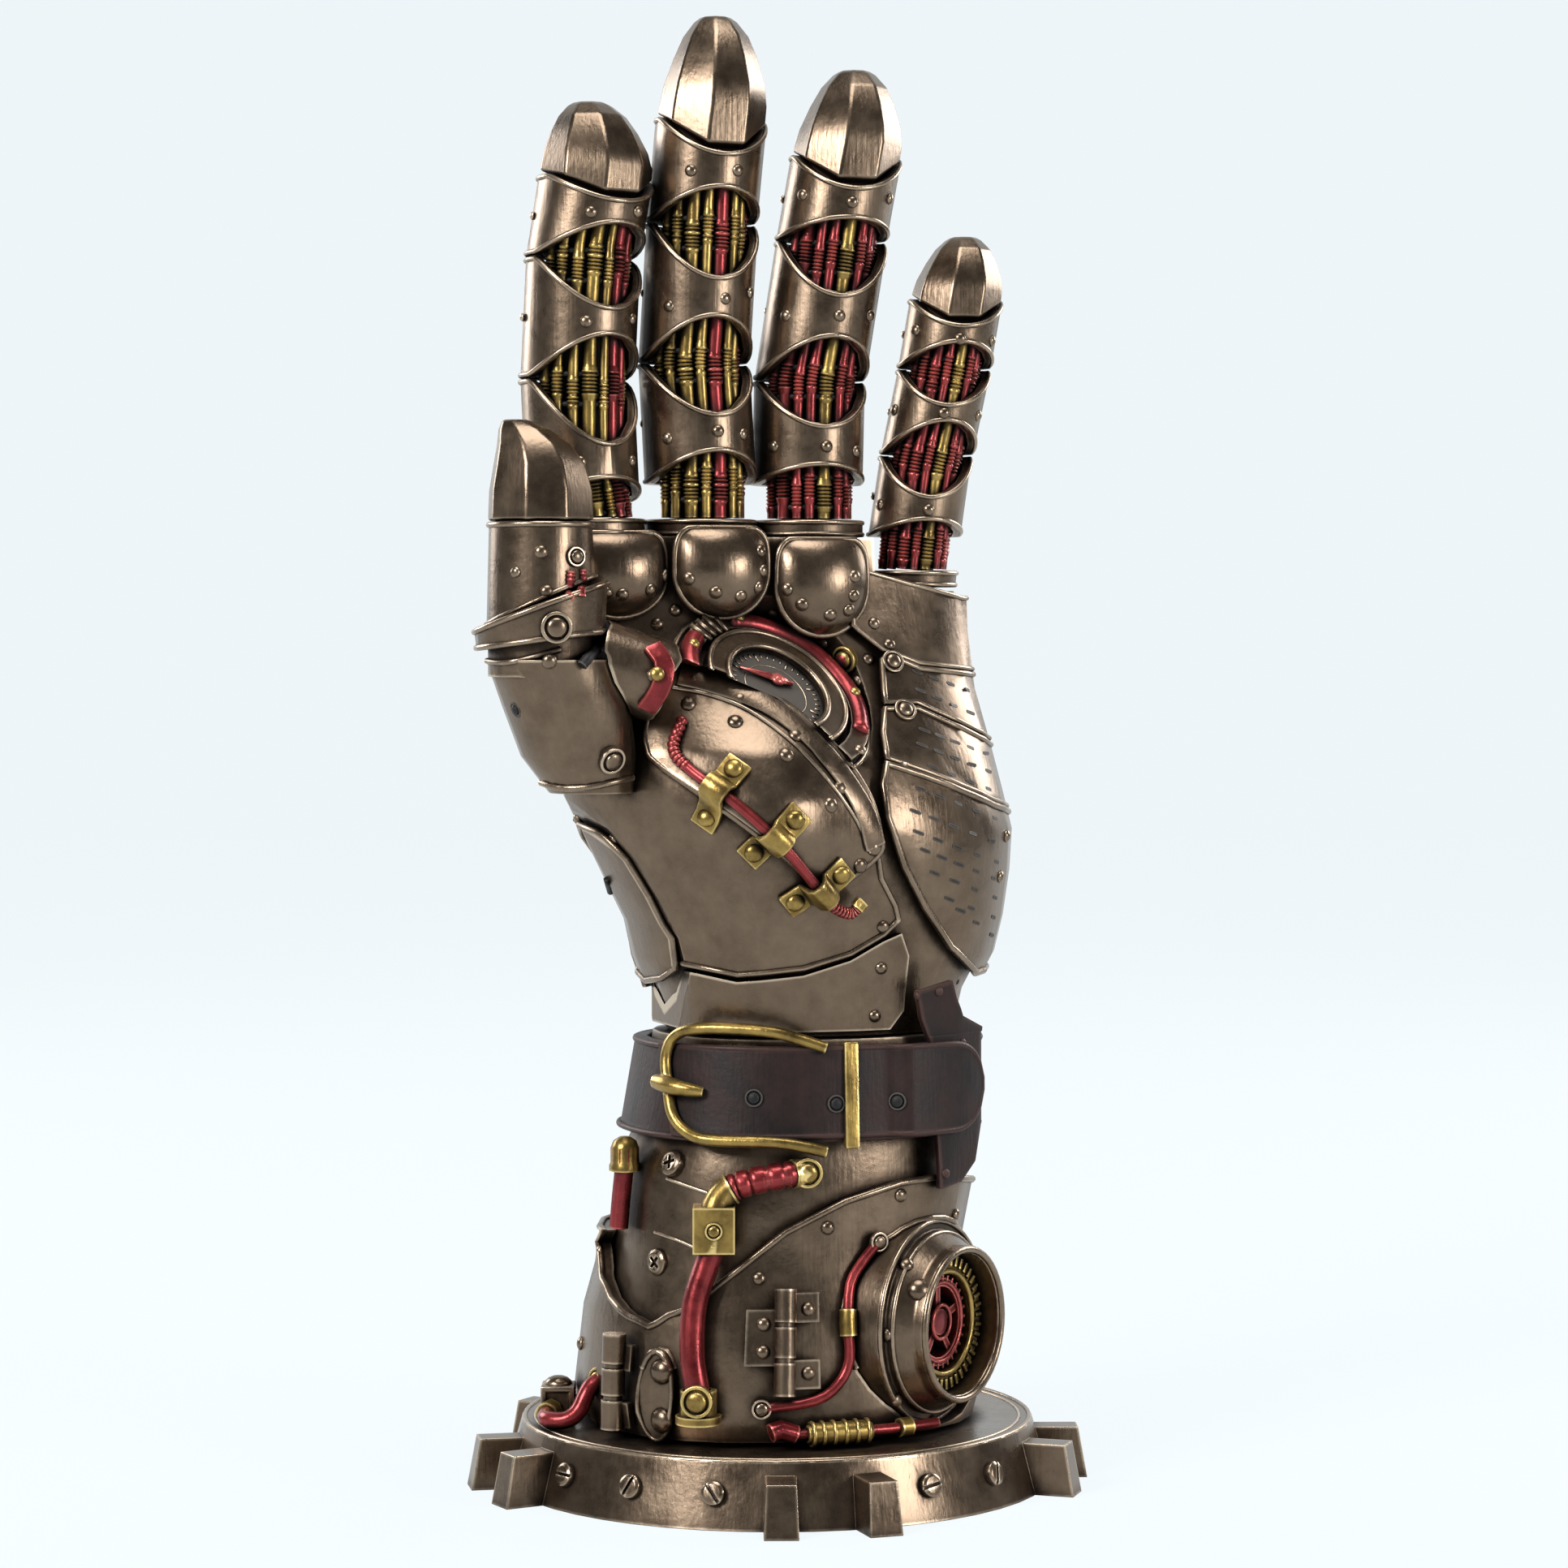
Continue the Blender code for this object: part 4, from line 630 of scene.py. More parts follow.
fingerBands = {"{}_{}_band".format(finger, part): 0.35 for finger in ("index", "middle", "ring", "little")
               for part in ("lower", "middle", "upper")}
dressPlan = (  # finish, least angle of a rounded edge, and each node's edge radius in millimetres
    (bronze, 32.0, {"cog_base": 0.7, "forearm_core": 0.3, "lower_cuff": 0.5, "gear_port": 0.45,
                    "front_hinge": 0.25, "left_hinge": 0.3, "palm_core": 0.3, "wrist_collar": 0.45,
                    "thenar_lower": 0.5, "side_plate": 0.5, "hypothenar_upper": 0.5,
                    "hypothenar_middle": 0.5, "hypothenar_lower": 0.5, "little_knuckle_plate": 0.5,
                    "back_plate": 0.6, "palm_dial": 0.3, "thumb_root": 0.5, "thumb_sleeve": 0.4,
                    "thumb_cuff_lower": 0.4, "thumb_cuff_upper": 0.4}),
    (bronze, 24.0, {"thumb_claw": 0.55}),
    (bronze, 32.0, fingerBands),
    (gold, 32.0, {"gear_port_ring": 0.15, "front_pipe_cap": 0.3, "front_pipe_box": 0.5, "foot_capsule": 0.3,
                  "belt_keeper": 0.5}),
    (red, 50.0, {"gear_port_wheel": 0.2, "left_pipe": 0.3, "thin_pipe": 0.15, "foot_pipe": 0.15}),
    (leather, 32.0, {"wrist_belt": 0.5, "wrist_tab": 0.5}),
)
for look, angle, edges in dressPlan:
    for name, edge in edges.items():
        dress(name, look, edge, angle)
print("nodes dressed")


# Small parts modelled once, a unit in radius, and stamped where they sit
def pickFaces(piece, rule):
    bpy.ops.mesh.select_mode(type="FACE")
    bpy.ops.mesh.select_all(action="DESELECT")
    form = bmesh.from_edit_mesh(piece.data)
    form.normal_update()
    for face in form.faces:
        face.select_set(bool(rule(face)))
    bmesh.update_edit_mesh(piece.data)


def makeRivet():
    deselect()
    bpy.ops.mesh.primitive_uv_sphere_add(segments=12, ring_count=8, radius=1.0)
    piece = bpy.context.object
    bpy.ops.object.mode_set(mode="EDIT")
    bpy.ops.mesh.select_all(action="SELECT")
    bpy.ops.transform.resize(value=(1.0, 1.0, 0.62))
    bpy.ops.mesh.bisect(plane_co=(0, 0, -0.2), plane_no=(0, 0, 1), clear_inner=True, use_fill=True)
    bpy.ops.object.mode_set(mode="OBJECT")
    piece.name = "rivet"
    return piece


def makeBoss():  # round washer with a dome in the middle
    deselect()
    bpy.ops.mesh.primitive_cylinder_add(vertices=24, radius=1.0, depth=0.5, location=(0, 0, 0.1))
    piece = bpy.context.object
    bpy.ops.object.mode_set(mode="EDIT")
    for inset, lift in ((0.22, 0.0), (0.02, -0.14), (0.10, 0.0), (0.06, 0.26), (0.22, 0.12)):
        pickFaces(piece, lambda face: face.normal.z > 0.9 and face.calc_center_median().xy.length < 0.01)
        bpy.ops.mesh.inset(thickness=inset)
        bpy.ops.transform.translate(value=(0, 0, lift))
    bpy.ops.object.mode_set(mode="OBJECT")
    applyStep(piece, "BEVEL", width=0.05, segments=2, limit_method="ANGLE", angle_limit=0.6)
    settle(piece)
    piece.name = "boss"
    return piece


def makeScrew(cross):  # domed head with one slot, or two that cross
    deselect()
    bpy.ops.mesh.primitive_cylinder_add(vertices=24, radius=1.0, depth=0.7, location=(0, 0, 0.1))
    piece = bpy.context.object
    bpy.ops.object.mode_set(mode="EDIT")
    pickFaces(piece, lambda face: face.normal.z > 0.9)
    bpy.ops.mesh.inset(thickness=0.28)
    bpy.ops.transform.translate(value=(0, 0, 0.16))
    bpy.ops.object.mode_set(mode="OBJECT")
    cuts = []
    for turn in ((0.0, math.pi / 2) if cross else (0.0,)):
        bpy.ops.mesh.primitive_cube_add(size=1.0, location=(0, 0, 0.62), rotation=(0, 0, turn))
        cut = bpy.context.object
        cut.scale = (1.1 if cross else 2.4, 0.26, 0.62)
        settle(cut)
        cuts.append(cut)
    for cut in cuts:
        cutWith(piece, cut)
    applyStep(piece, "BEVEL", width=0.045, segments=2, limit_method="ANGLE", angle_limit=0.5)
    piece.name = "screwHead"
    return piece


rivet = makeRivet()
boss = makeBoss()
slotScrew = makeScrew(False)
crossScrew = makeScrew(True)
templates = [rivet, boss, slotScrew, crossScrew]
rivetSwell = 1.2  # a rivet's dome reads smaller than its foot


def studs(name, template, spots, names, look, sink=0.0):  # spots: photo x, photo y, radius, turn
    places = []
    for spot in spots:
        hit = seen(spot[0], spot[1], names)
        if hit:
            turn = math.radians(spot[3]) if len(spot) > 3 else 0.0
            size = spot[2] * (rivetSwell if template is rivet else 1.0) * mm
            places.append(aimed(hit[0] - hit[1] * sink * mm, hit[1], size, turn))
    if not places:
        print("nothing carries", name)
        return None
    return finish(stamped(template, places), name, look, smooth=50.0)


def beads(name, lines, look):  # lines: points, radius, closed
    rods = [rod(points, radius * mm, None, closed) for points, radius, closed in lines]
    return finish(joined(rods), name, look, smooth=60.0)


# Fingers: where each stands on the palm, which way it faces, its radius, and how it leans on the way up.
# Levels are heights over the palm: foot of the lower band in front and at the side, its top, first pivot,
# foot and top of the middle band, second pivot, foot and top of the upper band, its top at the side, tip.
# Pipes are turn from the front, radius and finish
fingers = {
    "index": {"foot": -0.825, "rise": 186.0, "facing": 36.0, "radius": 11.3,
              "levels": (11.0, 7.0, 18.0, 30.5, 38.5, 44.0, 54.0, 59.8, 64.5, 69.5, 84.0),
              "lean": (0.0, -0.19, -0.19, -0.16, -0.07, 0.14, 0.09),
              "pipes": ((-84, 1.3, "gold"), (-62, 1.25, "gold"), (-40, 1.3, "gold"), (-17, 1.75, "gold"),
                        (3, 1.1, "gold"), (23, 1.8, "red"), (43, 1.2, "red"), (61, 1.2, "gold"),
                        (80, 1.3, "red"))},
    "middle": {"foot": -0.34, "rise": 186.0, "facing": 22.0, "radius": 10.9,
               "levels": (16.5, 10.5, 24.0, 34.0, 42.5, 50.3, 61.3, 67.3, 74.2, 81.5, 101.5),
               "lean": (0.0, 0.0, -0.11, 0.0, 0.06, 0.24, 0.33),
               "pipes": ((-80, 1.2, "gold"), (-58, 1.3, "gold"), (-34, 1.75, "gold"), (-12, 1.2, "gold"),
                         (10, 1.8, "red"), (31, 1.2, "gold"), (50, 1.25, "gold"), (72, 1.3, "red"))},
    "ring": {"foot": 0.135, "rise": 186.0, "facing": 18.0, "radius": 11.0,
             "levels": (14.0, 10.5, 22.0, 31.0, 39.0, 47.5, 58.5, 62.0, 68.3, 75.0, 92.0),
             "lean": (0.0, 0.0, 0.04, 0.29, 0.47, 0.73, 0.89),
             "pipes": ((-80, 1.3, "red"), (-56, 1.7, "red"), (-33, 1.2, "red"), (-15, 1.2, "red"),
                       (7, 1.75, "gold"), (30, 1.3, "red"), (50, 1.3, "red"), (72, 1.3, "red"))},
    "little": {"foot": 0.595, "rise": 176.2, "facing": 14.0, "radius": 9.3,
               "levels": (13.3, 10.3, 18.3, 26.5, 32.8, 36.4, 43.6, 48.3, 52.0, 57.3, 69.8),
               "lean": (0.0, 0.13, 0.30, 0.58, 0.81, 1.02, 1.20),
               "pipes": ((-80, 1.1, "red"), (-55, 1.2, "red"), (-32, 1.4, "red"), (-10, 1.0, "red"),
                         (12, 1.5, "gold"), (34, 1.1, "red"), (54, 1.2, "red"), (76, 1.1, "red"))},
}
bandPlan = {"wall": 1.6, "gap": 0.5, "collar": 3.4, "bead": 0.5, "steps": 48}
bandNames = [name for name in nodes if name.endswith("_band")]


def fingerCentre(finger, height):
    steps = len(finger["lean"]) - 1
    share = min(max(height / finger["levels"][-1], 0.0), 1.0) * steps
    k = min(int(share), steps - 1)
    lean = finger["lean"][k] + (finger["lean"][k + 1] - finger["lean"][k]) * (share - k)
    foot = inPalm(finger["foot"] * skin["handWide"], finger["rise"], 0.0)
    return foot + Vector((lean * finger["radius"], 0.0, height)) * mm


def facing(angle):
    return Vector((math.sin(angle), -math.cos(angle), 0.0))


def onFinger(finger, turn, height, radius):  # turn in degrees from the finger's own front
    return fingerCentre(finger, height) + facing(math.radians(finger["facing"] + turn)) * radius * mm


# Ribbed pipes of a finger: step along a pipe, thickness as shares, and half lengths in millimetres
bundlePlan = {"step": 0.36, "plain": 0.88, "rib": 1.12, "waist": 0.80, "shoulder": 1.0, "slim": 0.9,
              "ribbed": 2.3, "sleeve": 3.0, "pitch": 0.38, "shifts": (-0.8, 1.1), "inset": 0.35,
              "coreInset": 3.2, "ringInset": 2.1, "ringOff": 2.9, "ring": 0.55}


def ribSwell(off):  # thickness of a pipe at a distance from the middle of its ribbed sleeve
    if off < bundlePlan["ribbed"]:
        return bundlePlan["waist" if int(off / bundlePlan["pitch"] + 0.5) % 2 else "rib"]
    return bundlePlan["shoulder"] if off < bundlePlan["sleeve"] else None


def makePipes(name, finger):
    levels = finger["levels"]
    low = bandPlan["collar"] + 0.4
    high = levels[7] + 1.0
    inside = finger["radius"] - bandPlan["wall"]
    gaps = ((low + levels[0]) / 2, (levels[2] + levels[4]) / 2, (levels[5] + levels[7]) / 2)
    groups = {"gold": [], "red": []}
    for k, (turn, radius, look) in enumerate(finger["pipes"]):
        points = []
        radii = []
        far = inside - bundlePlan["inset"] - radius
        count = int((high - low) / bundlePlan["step"])
        for i in range(count + 1):
            height = low + (high - low) * i / count
            swell = bundlePlan["plain"]
            for gap in gaps:  # one ribbed sleeve in the middle of each gap
                swell = ribSwell(abs(height - gap - bundlePlan["shifts"][k % 2])) or swell
            points.append(onFinger(finger, turn, height, far))
            radii.append(swell)
        groups[look].append(rod(points, radius * bundlePlan["slim"] * mm, radii))
    core = rod([fingerCentre(finger, low + (high - low) * k / 12) for k in range(13)],
               (inside - bundlePlan["coreInset"]) * mm)
    rings = []
    for gap in gaps:  # dark clamp rings round the bundle
        for height in (gap - bundlePlan["ringOff"], gap + bundlePlan["ringOff"]):
            if low + 0.6 < height < high - 0.6:
                far = inside - bundlePlan["ringInset"]
                ring = [onFinger(finger, turn, height, far) for turn in range(0, 360, 12)]
                rings.append(rod(ring, bundlePlan["ring"] * mm, None, True))
    finish(joined([core] + rings), name + "PipeCore", darkAndPaintedShade, (name + "_tubes",))
    finish(joined(groups["gold"]), name + "GoldPipes", gold, smooth=70.0)
    finish(joined(groups["red"]), name + "RedPipes", red, smooth=70.0)


def bandEdge(finger, front, side, radius):
    line = []
    for k in range(bandPlan["steps"]):
        turn = 2 * math.pi * k / bandPlan["steps"]
        height = side + (front - side) * max(0.0, math.cos(turn)) ** 1.3
        line.append(onFinger(finger, math.degrees(turn), height, radius))
    return line


def makeBandRims(name, finger):
    foot, footSide, lowerTop, pivot1, midFoot, midTop, pivot2, upFoot, upTop, upSide, tip = finger["levels"]
    half = bandPlan["gap"] / 2
    r = finger["radius"] - 0.1
    lines = []
    for front, side in ((foot + 0.4, footSide + 0.4), (lowerTop - 0.4, pivot1 - half - 0.4),
                        (midFoot + 0.4, pivot1 + half + 0.4), (midTop - 0.4, pivot2 - half - 0.4),
                        (upFoot + 0.4, pivot2 + half + 0.4), (upTop - 0.4, upSide - 0.4)):
        lines.append((bandEdge(finger, front, side, r), bandPlan["bead"], True))
    collar = bandPlan["collar"]
    for height in (0.7, collar - 0.4):
        lines.append((bandEdge(finger, height, height, r), bandPlan["bead"], True))
    beads(name + "BandRims", lines, bronze)
    places = []
    for low, high in ((footSide, pivot1), (pivot1, pivot2), (pivot2, upSide)):
        for turn in (110, 150, 210, 250):
            point = onFinger(finger, turn, (low + high) / 2, finger["radius"])
            places.append(aimed(point, facing(math.radians(finger["facing"] + turn)), 0.8 * mm))
    finish(stamped(rivet, places), name + "BackRivets", bronze)


for name, finger in fingers.items():
    makePipes(name, finger)
    makeBandRims(name, finger)
bandRivets = ((728, 261), (786, 261), (722, 396), (779, 393), (715, 569), (779, 568), (851, 210),
              (909, 210), (941, 205), (824, 377), (894, 368), (924, 361), (822, 540), (885, 531),
              (916, 535), (989, 240), (1050, 249), (1096, 245), (968, 389), (1035, 389), (1072, 389),
              (953, 550), (1019, 550), (1055, 556), (1128, 407), (1183, 417), (1222, 420), (1102, 505),
              (1163, 509), (1205, 512), (1084, 622), (1144, 628))
studs("bandRivets", rivet, [(x, y, 1.0) for x, y in bandRivets], bandNames, bronze)
print("fingers ready")

# Outline of the raised plate over the thumb's root, as shares of the hand's width and height
thenarOutline = ((-0.61, 0.74), (-0.436, 0.707), (-0.20, 0.656), (-0.074, 0.602), (0.04, 0.533),
                 (0.136, 0.453), (0.183, 0.369), (0.174, 0.32), (-0.04, 0.251), (-0.17, 0.294),
                 (-0.66, 0.50), (-0.734, 0.556), (-0.713, 0.622), (-0.66, 0.71))
# The plate is a flat slab cut to that outline, then laid on the palm and bulged
shellPlan = {"low": 0.3, "wall": 2.3, "bulge": 1.3, "cell": 1.15, "middle": (-0.28, 0.50), "reach": 24.0,
             "rim": 0.75, "rimSunk": 0.2}


def makeShell():
    outline = [(across * skin["handWide"], up * skin["handTall"], 0.0) for across, up in thenarOutline]
    spots = smoothLine(outline, 5, True)
    cutter = loftPiece("shellCutter", [[Vector((spot.x, spot.y, z)) for spot in spots] for z in (-2.0, 3.0)])
    xs = [spot.x for spot in spots]
    ys = [spot.y for spot in spots]
    wide, tall = max(xs) - min(xs) + 4, max(ys) - min(ys) + 4
    deselect()
    cell = shellPlan["cell"]
    centre = ((max(xs) + min(xs)) / 2, (max(ys) + min(ys)) / 2, 0)
    bpy.ops.mesh.primitive_grid_add(x_subdivisions=int(wide / cell), y_subdivisions=int(tall / cell),
                                    size=1.0, location=centre)
    plate = bpy.context.object
    plate.scale = (wide, tall, 1.0)
    settle(plate)
    applyStep(plate, "SOLIDIFY", thickness=1.0, offset=1.0)
    cutWith(plate, cutter, "INTERSECT")
    middle = Vector((shellPlan["middle"][0] * skin["handWide"], shellPlan["middle"][1] * skin["handTall"]))
    for vert in plate.data.vertices:
        across, up = vert.co.x, vert.co.y
        far = (Vector((across, up)) - middle).length / shellPlan["reach"]
        rise = shellPlan["wall"] + shellPlan["bulge"] * math.exp(-far * far * 1.6)
        lift = shellPlan["low"] + max(0.0, vert.co.z) * rise
        vert.co = onFront(across, skin["heel"] + up, lift)
    hold(plate)
    bpy.ops.object.mode_set(mode="EDIT")
    bpy.ops.mesh.select_all(action="SELECT")
    bpy.ops.mesh.remove_doubles(threshold=weldGap)
    bpy.ops.mesh.normals_make_consistent(inside=False)
    bpy.ops.object.mode_set(mode="OBJECT")
    finish(plate, "thenarShell", bronze, stands=("thenar_upper",), smooth=50.0)
    carryTree("thenar_upper", plate)
    lift = shellPlan["low"] + shellPlan["wall"] - shellPlan["rimSunk"]
    rim = [onFront(spot.x, skin["heel"] + spot.y, lift) for spot in spots]
    beads("thenarShellRim", [(rim, shellPlan["rim"], True)], bronze)


makeShell()


# Rims that follow the edges of a plate on its outward side, between two heights in metres
def edgeRim(name, node, radius, outward=0.3, low=-1.0, high=1.0, axis=(0.0, 0.0)):
    piece = copyNode(node)
    bpy.ops.object.mode_set(mode="EDIT")
    bpy.ops.mesh.select_mode(type="EDGE")
    bpy.ops.mesh.select_all(action="DESELECT")
    form = bmesh.from_edit_mesh(piece.data)
    form.normal_update()
    for edge in form.edges:
        if len(edge.link_faces) != 2:
            continue
        middle = (edge.verts[0].co + edge.verts[1].co) / 2
        if not low < middle.z < high:
            continue
        away = Vector((middle.x - axis[0], middle.y - axis[1], 0.0)).normalized()
        most = max(face.normal.dot(away) for face in edge.link_faces)
        turn = edge.link_faces[0].normal.angle(edge.link_faces[1].normal, 0.0)
        edge.select_set(turn > math.radians(45) and most > outward)
    bmesh.update_edit_mesh(piece.data)
    bpy.ops.mesh.select_all(action="INVERT")
    bpy.ops.mesh.delete(type="EDGE")
    bpy.ops.object.mode_set(mode="OBJECT")
    hold(piece)
    bpy.ops.object.convert(target="CURVE")
    piece = bpy.context.object
    piece.data.bevel_depth = radius * mm
    piece.data.bevel_resolution = 2
    piece.data.use_fill_caps = True
    bpy.ops.object.convert(target="MESH")
    finish(bpy.context.object, name, bronze, smooth=60.0)


rimPlan = {"thenar_lower": 0.6, "side_plate": 0.7, "hypothenar_upper": 0.6, "hypothenar_middle": 0.6,
           "hypothenar_lower": 0.75, "little_knuckle_plate": 0.5, "back_plate": 0.7}
for node, radius in rimPlan.items():
    edgeRim(node + "Rim", node, radius)
edgeRim("cuffRim", "lower_cuff", 0.7, outward=0.2, low=0.027, high=0.065)
print("plate rims ready")

# Palm: rivets, screws and slots by their places in the photo
palmNames = ["palm_core", "thenar_upper", "thenar_lower", "side_plate", "hypothenar_upper",
             "hypothenar_middle", "hypothenar_lower", "little_knuckle_plate", "wrist_collar", "palm_dial",
             "index_pad", "middle_pad", "ring_pad", "thumb_root"]
palmRivets = ((1077, 768), (1096, 794), (952, 756), (1013, 793), (1055, 840), (1060, 923), (832, 752),
              (810, 769), (756, 1035), (834, 1184), (713, 1009), (1088, 1142), (1086, 1193), (1078, 1252),
              (805, 832), (1240, 1030), (1232, 1080), (1070, 812))
studs("palmRivets", rivet, [(x, y, 1.05) for x, y in palmRivets], palmNames, bronze)
shellRivets = ((853, 838), (912, 861), (981, 906), (1036, 970), (1077, 1045), (848, 867), (906, 889),
               (969, 930), (1024, 992), (1060, 1067))
studs("shellRivets", rivet, [(x, y, 1.3) for x, y in shellRivets], ["thenar_upper"], bronze, 0.1)
studs("sidePlateBosses", boss, [(1099, 816, 2.3), (1114, 876, 2.3), (1109, 940, 2.3)],
      ["hypothenar_upper", "hypothenar_middle", "hypothenar_lower", "little_knuckle_plate"], bronze)
shellLine = ((829, 847), (873, 856), (923, 876), (976, 915), (1020, 962), (1055, 1011), (1076, 1060))
shellBand = ((836, 832), (881, 844), (944, 869), (991, 904), (1031, 948), (1062, 996), (1078, 1044))
beads("shellInnerLine", [(seenLine(shellLine, ["thenar_upper"], 0.1), 0.42, False)], bronze)


# Slots in the edge plates: photo x and y of each row's first and last slot, and how many there are
slotPlan = {
    "radius": 0.36, "deep": 0.7, "half": 0.95, "sunk": 0.27,
    "rows": ((1130, 828, 1192, 850, 4), (1134, 851, 1196, 878, 4), (1139, 900, 1215, 928, 5),
             (1136, 918, 1218, 950, 5), (1150, 945, 1218, 972, 4), (1135, 972, 1226, 1008, 5),
             (1128, 1000, 1222, 1036, 5), (1132, 1026, 1228, 1062, 5), (1140, 1048, 1224, 1082, 5),
             (1152, 1076, 1226, 1106, 4), (1170, 1108, 1224, 1130, 3), (1184, 1122, 1222, 1152, 3)),
}


def makeSlots():
    deselect()
    bpy.ops.mesh.primitive_cylinder_add(vertices=12, radius=slotPlan["radius"] * mm,
                                        depth=slotPlan["deep"] * mm)
    hole = bpy.context.object
    bpy.ops.object.mode_set(mode="EDIT")
    form = bmesh.from_edit_mesh(hole.data)
    for vert in form.verts:  # two half rounds pulled apart make the slot
        vert.co.x += math.copysign(slotPlan["half"] * mm, vert.co.x) if abs(vert.co.x) > 0.01 * mm else 0.0
    bmesh.update_edit_mesh(hole.data)
    bpy.ops.object.mode_set(mode="OBJECT")
    hole.name = "slotHole"
    names = ["hypothenar_upper", "hypothenar_middle", "hypothenar_lower"]
    places = []
    for x0, y0, x1, y1, count in slotPlan["rows"]:
        for k in range(count):
            px = x0 + (x1 - x0) * k / (count - 1)
            py = y0 + (y1 - y0) * k / (count - 1)
            hit = seen(px, py, names)
            ahead = seen(px + 4, py + 1.6, names)
            if not hit or not ahead:
                continue
            along = (ahead[0] - hit[0]).normalized()
            side = hit[1].cross(along).normalized()
            along = side.cross(hit[1]).normalized()
            turn = Matrix((along, side, hit[1])).transposed().to_4x4()
            places.append(Matrix.Translation(hit[0] - hit[1] * slotPlan["sunk"] * mm) @ turn)
    piece = stamped(hole, places)
    bpy.data.objects.remove(hole, do_unlink=True)
    # Dark slot shapes on the plates paint the shade inside the perforations
    finish(piece, "sideSlots", darkAndPaintedShade)


makeSlots()
print("palm trims ready")

# Finger tips: eight facets that swell out over the band's rim.
# Foot rows are lift and share of the radius, other rows are share of the height, radius and backward shift
clawPlan = {"turns": (-21, 21, 66, 112, 158, 202, 248, 294), "wall": 1.6, "edge": 0.5, "gap": 0.5,
            "foot": ((-2.0, 0.0), (0.3, 0.0), (1.1, 0.985)),
            "rows": ((0.12, 0.975, 0.0), (0.32, 0.92, 0.0), (0.58, 0.77, 0.02), (0.80, 0.60, 0.06),
                     (0.945, 0.40, 0.12), (1.0, 0.27, 0.15))}


def makeClaw(name, finger):
    foot = finger["levels"][8]
    side = finger["levels"][9]
    tip = finger["levels"][10]
    r = finger["radius"]
    plug = r - clawPlan["wall"] - clawPlan["gap"]
    rings = []

    def rim(turn):
        return side + (foot - side) * max(0.0, math.cos(math.radians(turn))) ** 1.3

    for lift, share in clawPlan["foot"]:
        radius = max(plug, share * r)
        rings.append([onFinger(finger, turn, rim(turn) + lift, radius) for turn in clawPlan["turns"]])
    for share, radius, back in clawPlan["rows"]:
        height = side + (tip - side) * share
        shift = facing(math.radians(finger["facing"])) * back * r * mm
        rings.append([onFinger(finger, turn, height, radius * r) - shift for turn in clawPlan["turns"]])
    piece = loftPiece(name + "Tip", rings)
    applyStep(piece, "BEVEL", width=clawPlan["edge"] * mm, segments=3, limit_method="ANGLE", angle_limit=0.30)
    finish(piece, name + "Tip", bronze, stands=(name + "_claw",), smooth=24.0)
    applyStep(piece, "WEIGHTED_NORMAL", keep_sharp=True, weight=60)


for name, finger in fingers.items():
    makeClaw(name, finger)

# Knuckle pads: shields with a rolled rim, as place across and up, half width, half height and rise
padPlan = {"index_pad": (-0.77, 0.92, 10.0, 8.6, 5.6), "middle_pad": (-0.345, 0.925, 9.7, 9.2, 6.0),
           "ring_pad": (0.09, 0.895, 9.6, 9.9, 5.8)}


def shieldSpot(side, height):  # round below, squarer above, with a level top
    if height <= 0.0:
        return side, height
    share = min(height, 0.97)
    side *= (1.0 - share ** 4) ** 0.25 / math.sqrt(1.0 - share * share)
    return side, min(height, 0.93)


for name, (across, up, wide, tall, rise) in padPlan.items():
    deselect()
    bpy.ops.mesh.primitive_uv_sphere_add(segments=40, ring_count=24, radius=1.0)
    pad = bpy.context.object
    x = across * skin["handWide"]
    z = skin["heel"] + up * skin["handTall"]
    centre = onFront(x, z, -0.6)
    rim = []
    for vert in pad.data.vertices:
        side, height, out = vert.co.x, vert.co.z, -vert.co.y
        side, height = shieldSpot(side, height)
        vert.co = centre + (inPalm(side * wide, height * tall, out * rise) - inPalm(0, 0, 0))
    for k in range(48):
        turn = 2 * math.pi * k / 48
        side, height = shieldSpot(math.cos(turn), math.sin(turn))
        rim.append(centre + inPalm(side * wide * 0.98, height * tall * 0.98, 1.2) - inPalm(0, 0, 0))
    finish(pad, name + "Shield", bronze, stands=(name,), smooth=70.0)
    carryTree(name, pad)
    beads(name + "Rim", [(rim, 0.62, True)], bronze)

padRivets = ((747, 731), (767, 733), (802, 727), (820, 709), (823, 686), (848, 713), (882, 730), (913, 735),
             (935, 724), (941, 703), (938, 679), (969, 726), (988, 745), (1023, 758), (1046, 752),
             (1052, 734), (1053, 710))
studs("padRivets", rivet, [(x, y, 1.1) for x, y in padRivets], list(padPlan), bronze)

# Palm dial
dialPlan = {"spot": (-9.4, 155.4), "rise": 1.2, "swing": 40.0, "tilt": 44.0, "face": 10.3, "ticks": 40,
            "rings": ((14.6, 2.6, 0.55), (10.7, 2.75, 0.65), (21.0, 0.0, 0.5)),  # radius, height, thickness
            "arc": 18.3, "arcThick": 2.05, "arcs": ((-4, 128), (-72, -40)), "arcRivets": (2, 96, -52),
            "bars": (-34, -27, -20, -13), "needle": ((4.4, 78, 2.2), (2.6, 32, 2.3), (8.2, -48, 2.2))}
dialTilt = math.radians(dialPlan["tilt"])
dialOut = facing(math.radians(dialPlan["swing"])) * math.cos(dialTilt) + Vector((0, 0, math.sin(dialTilt)))
dialOut.normalize()
dialSpot = onFront(*dialPlan["spot"], dialPlan["rise"])
dialAcross = Vector((0, 0, 1)).cross(dialOut).normalized()
dialUp = dialOut.cross(dialAcross).normalized()


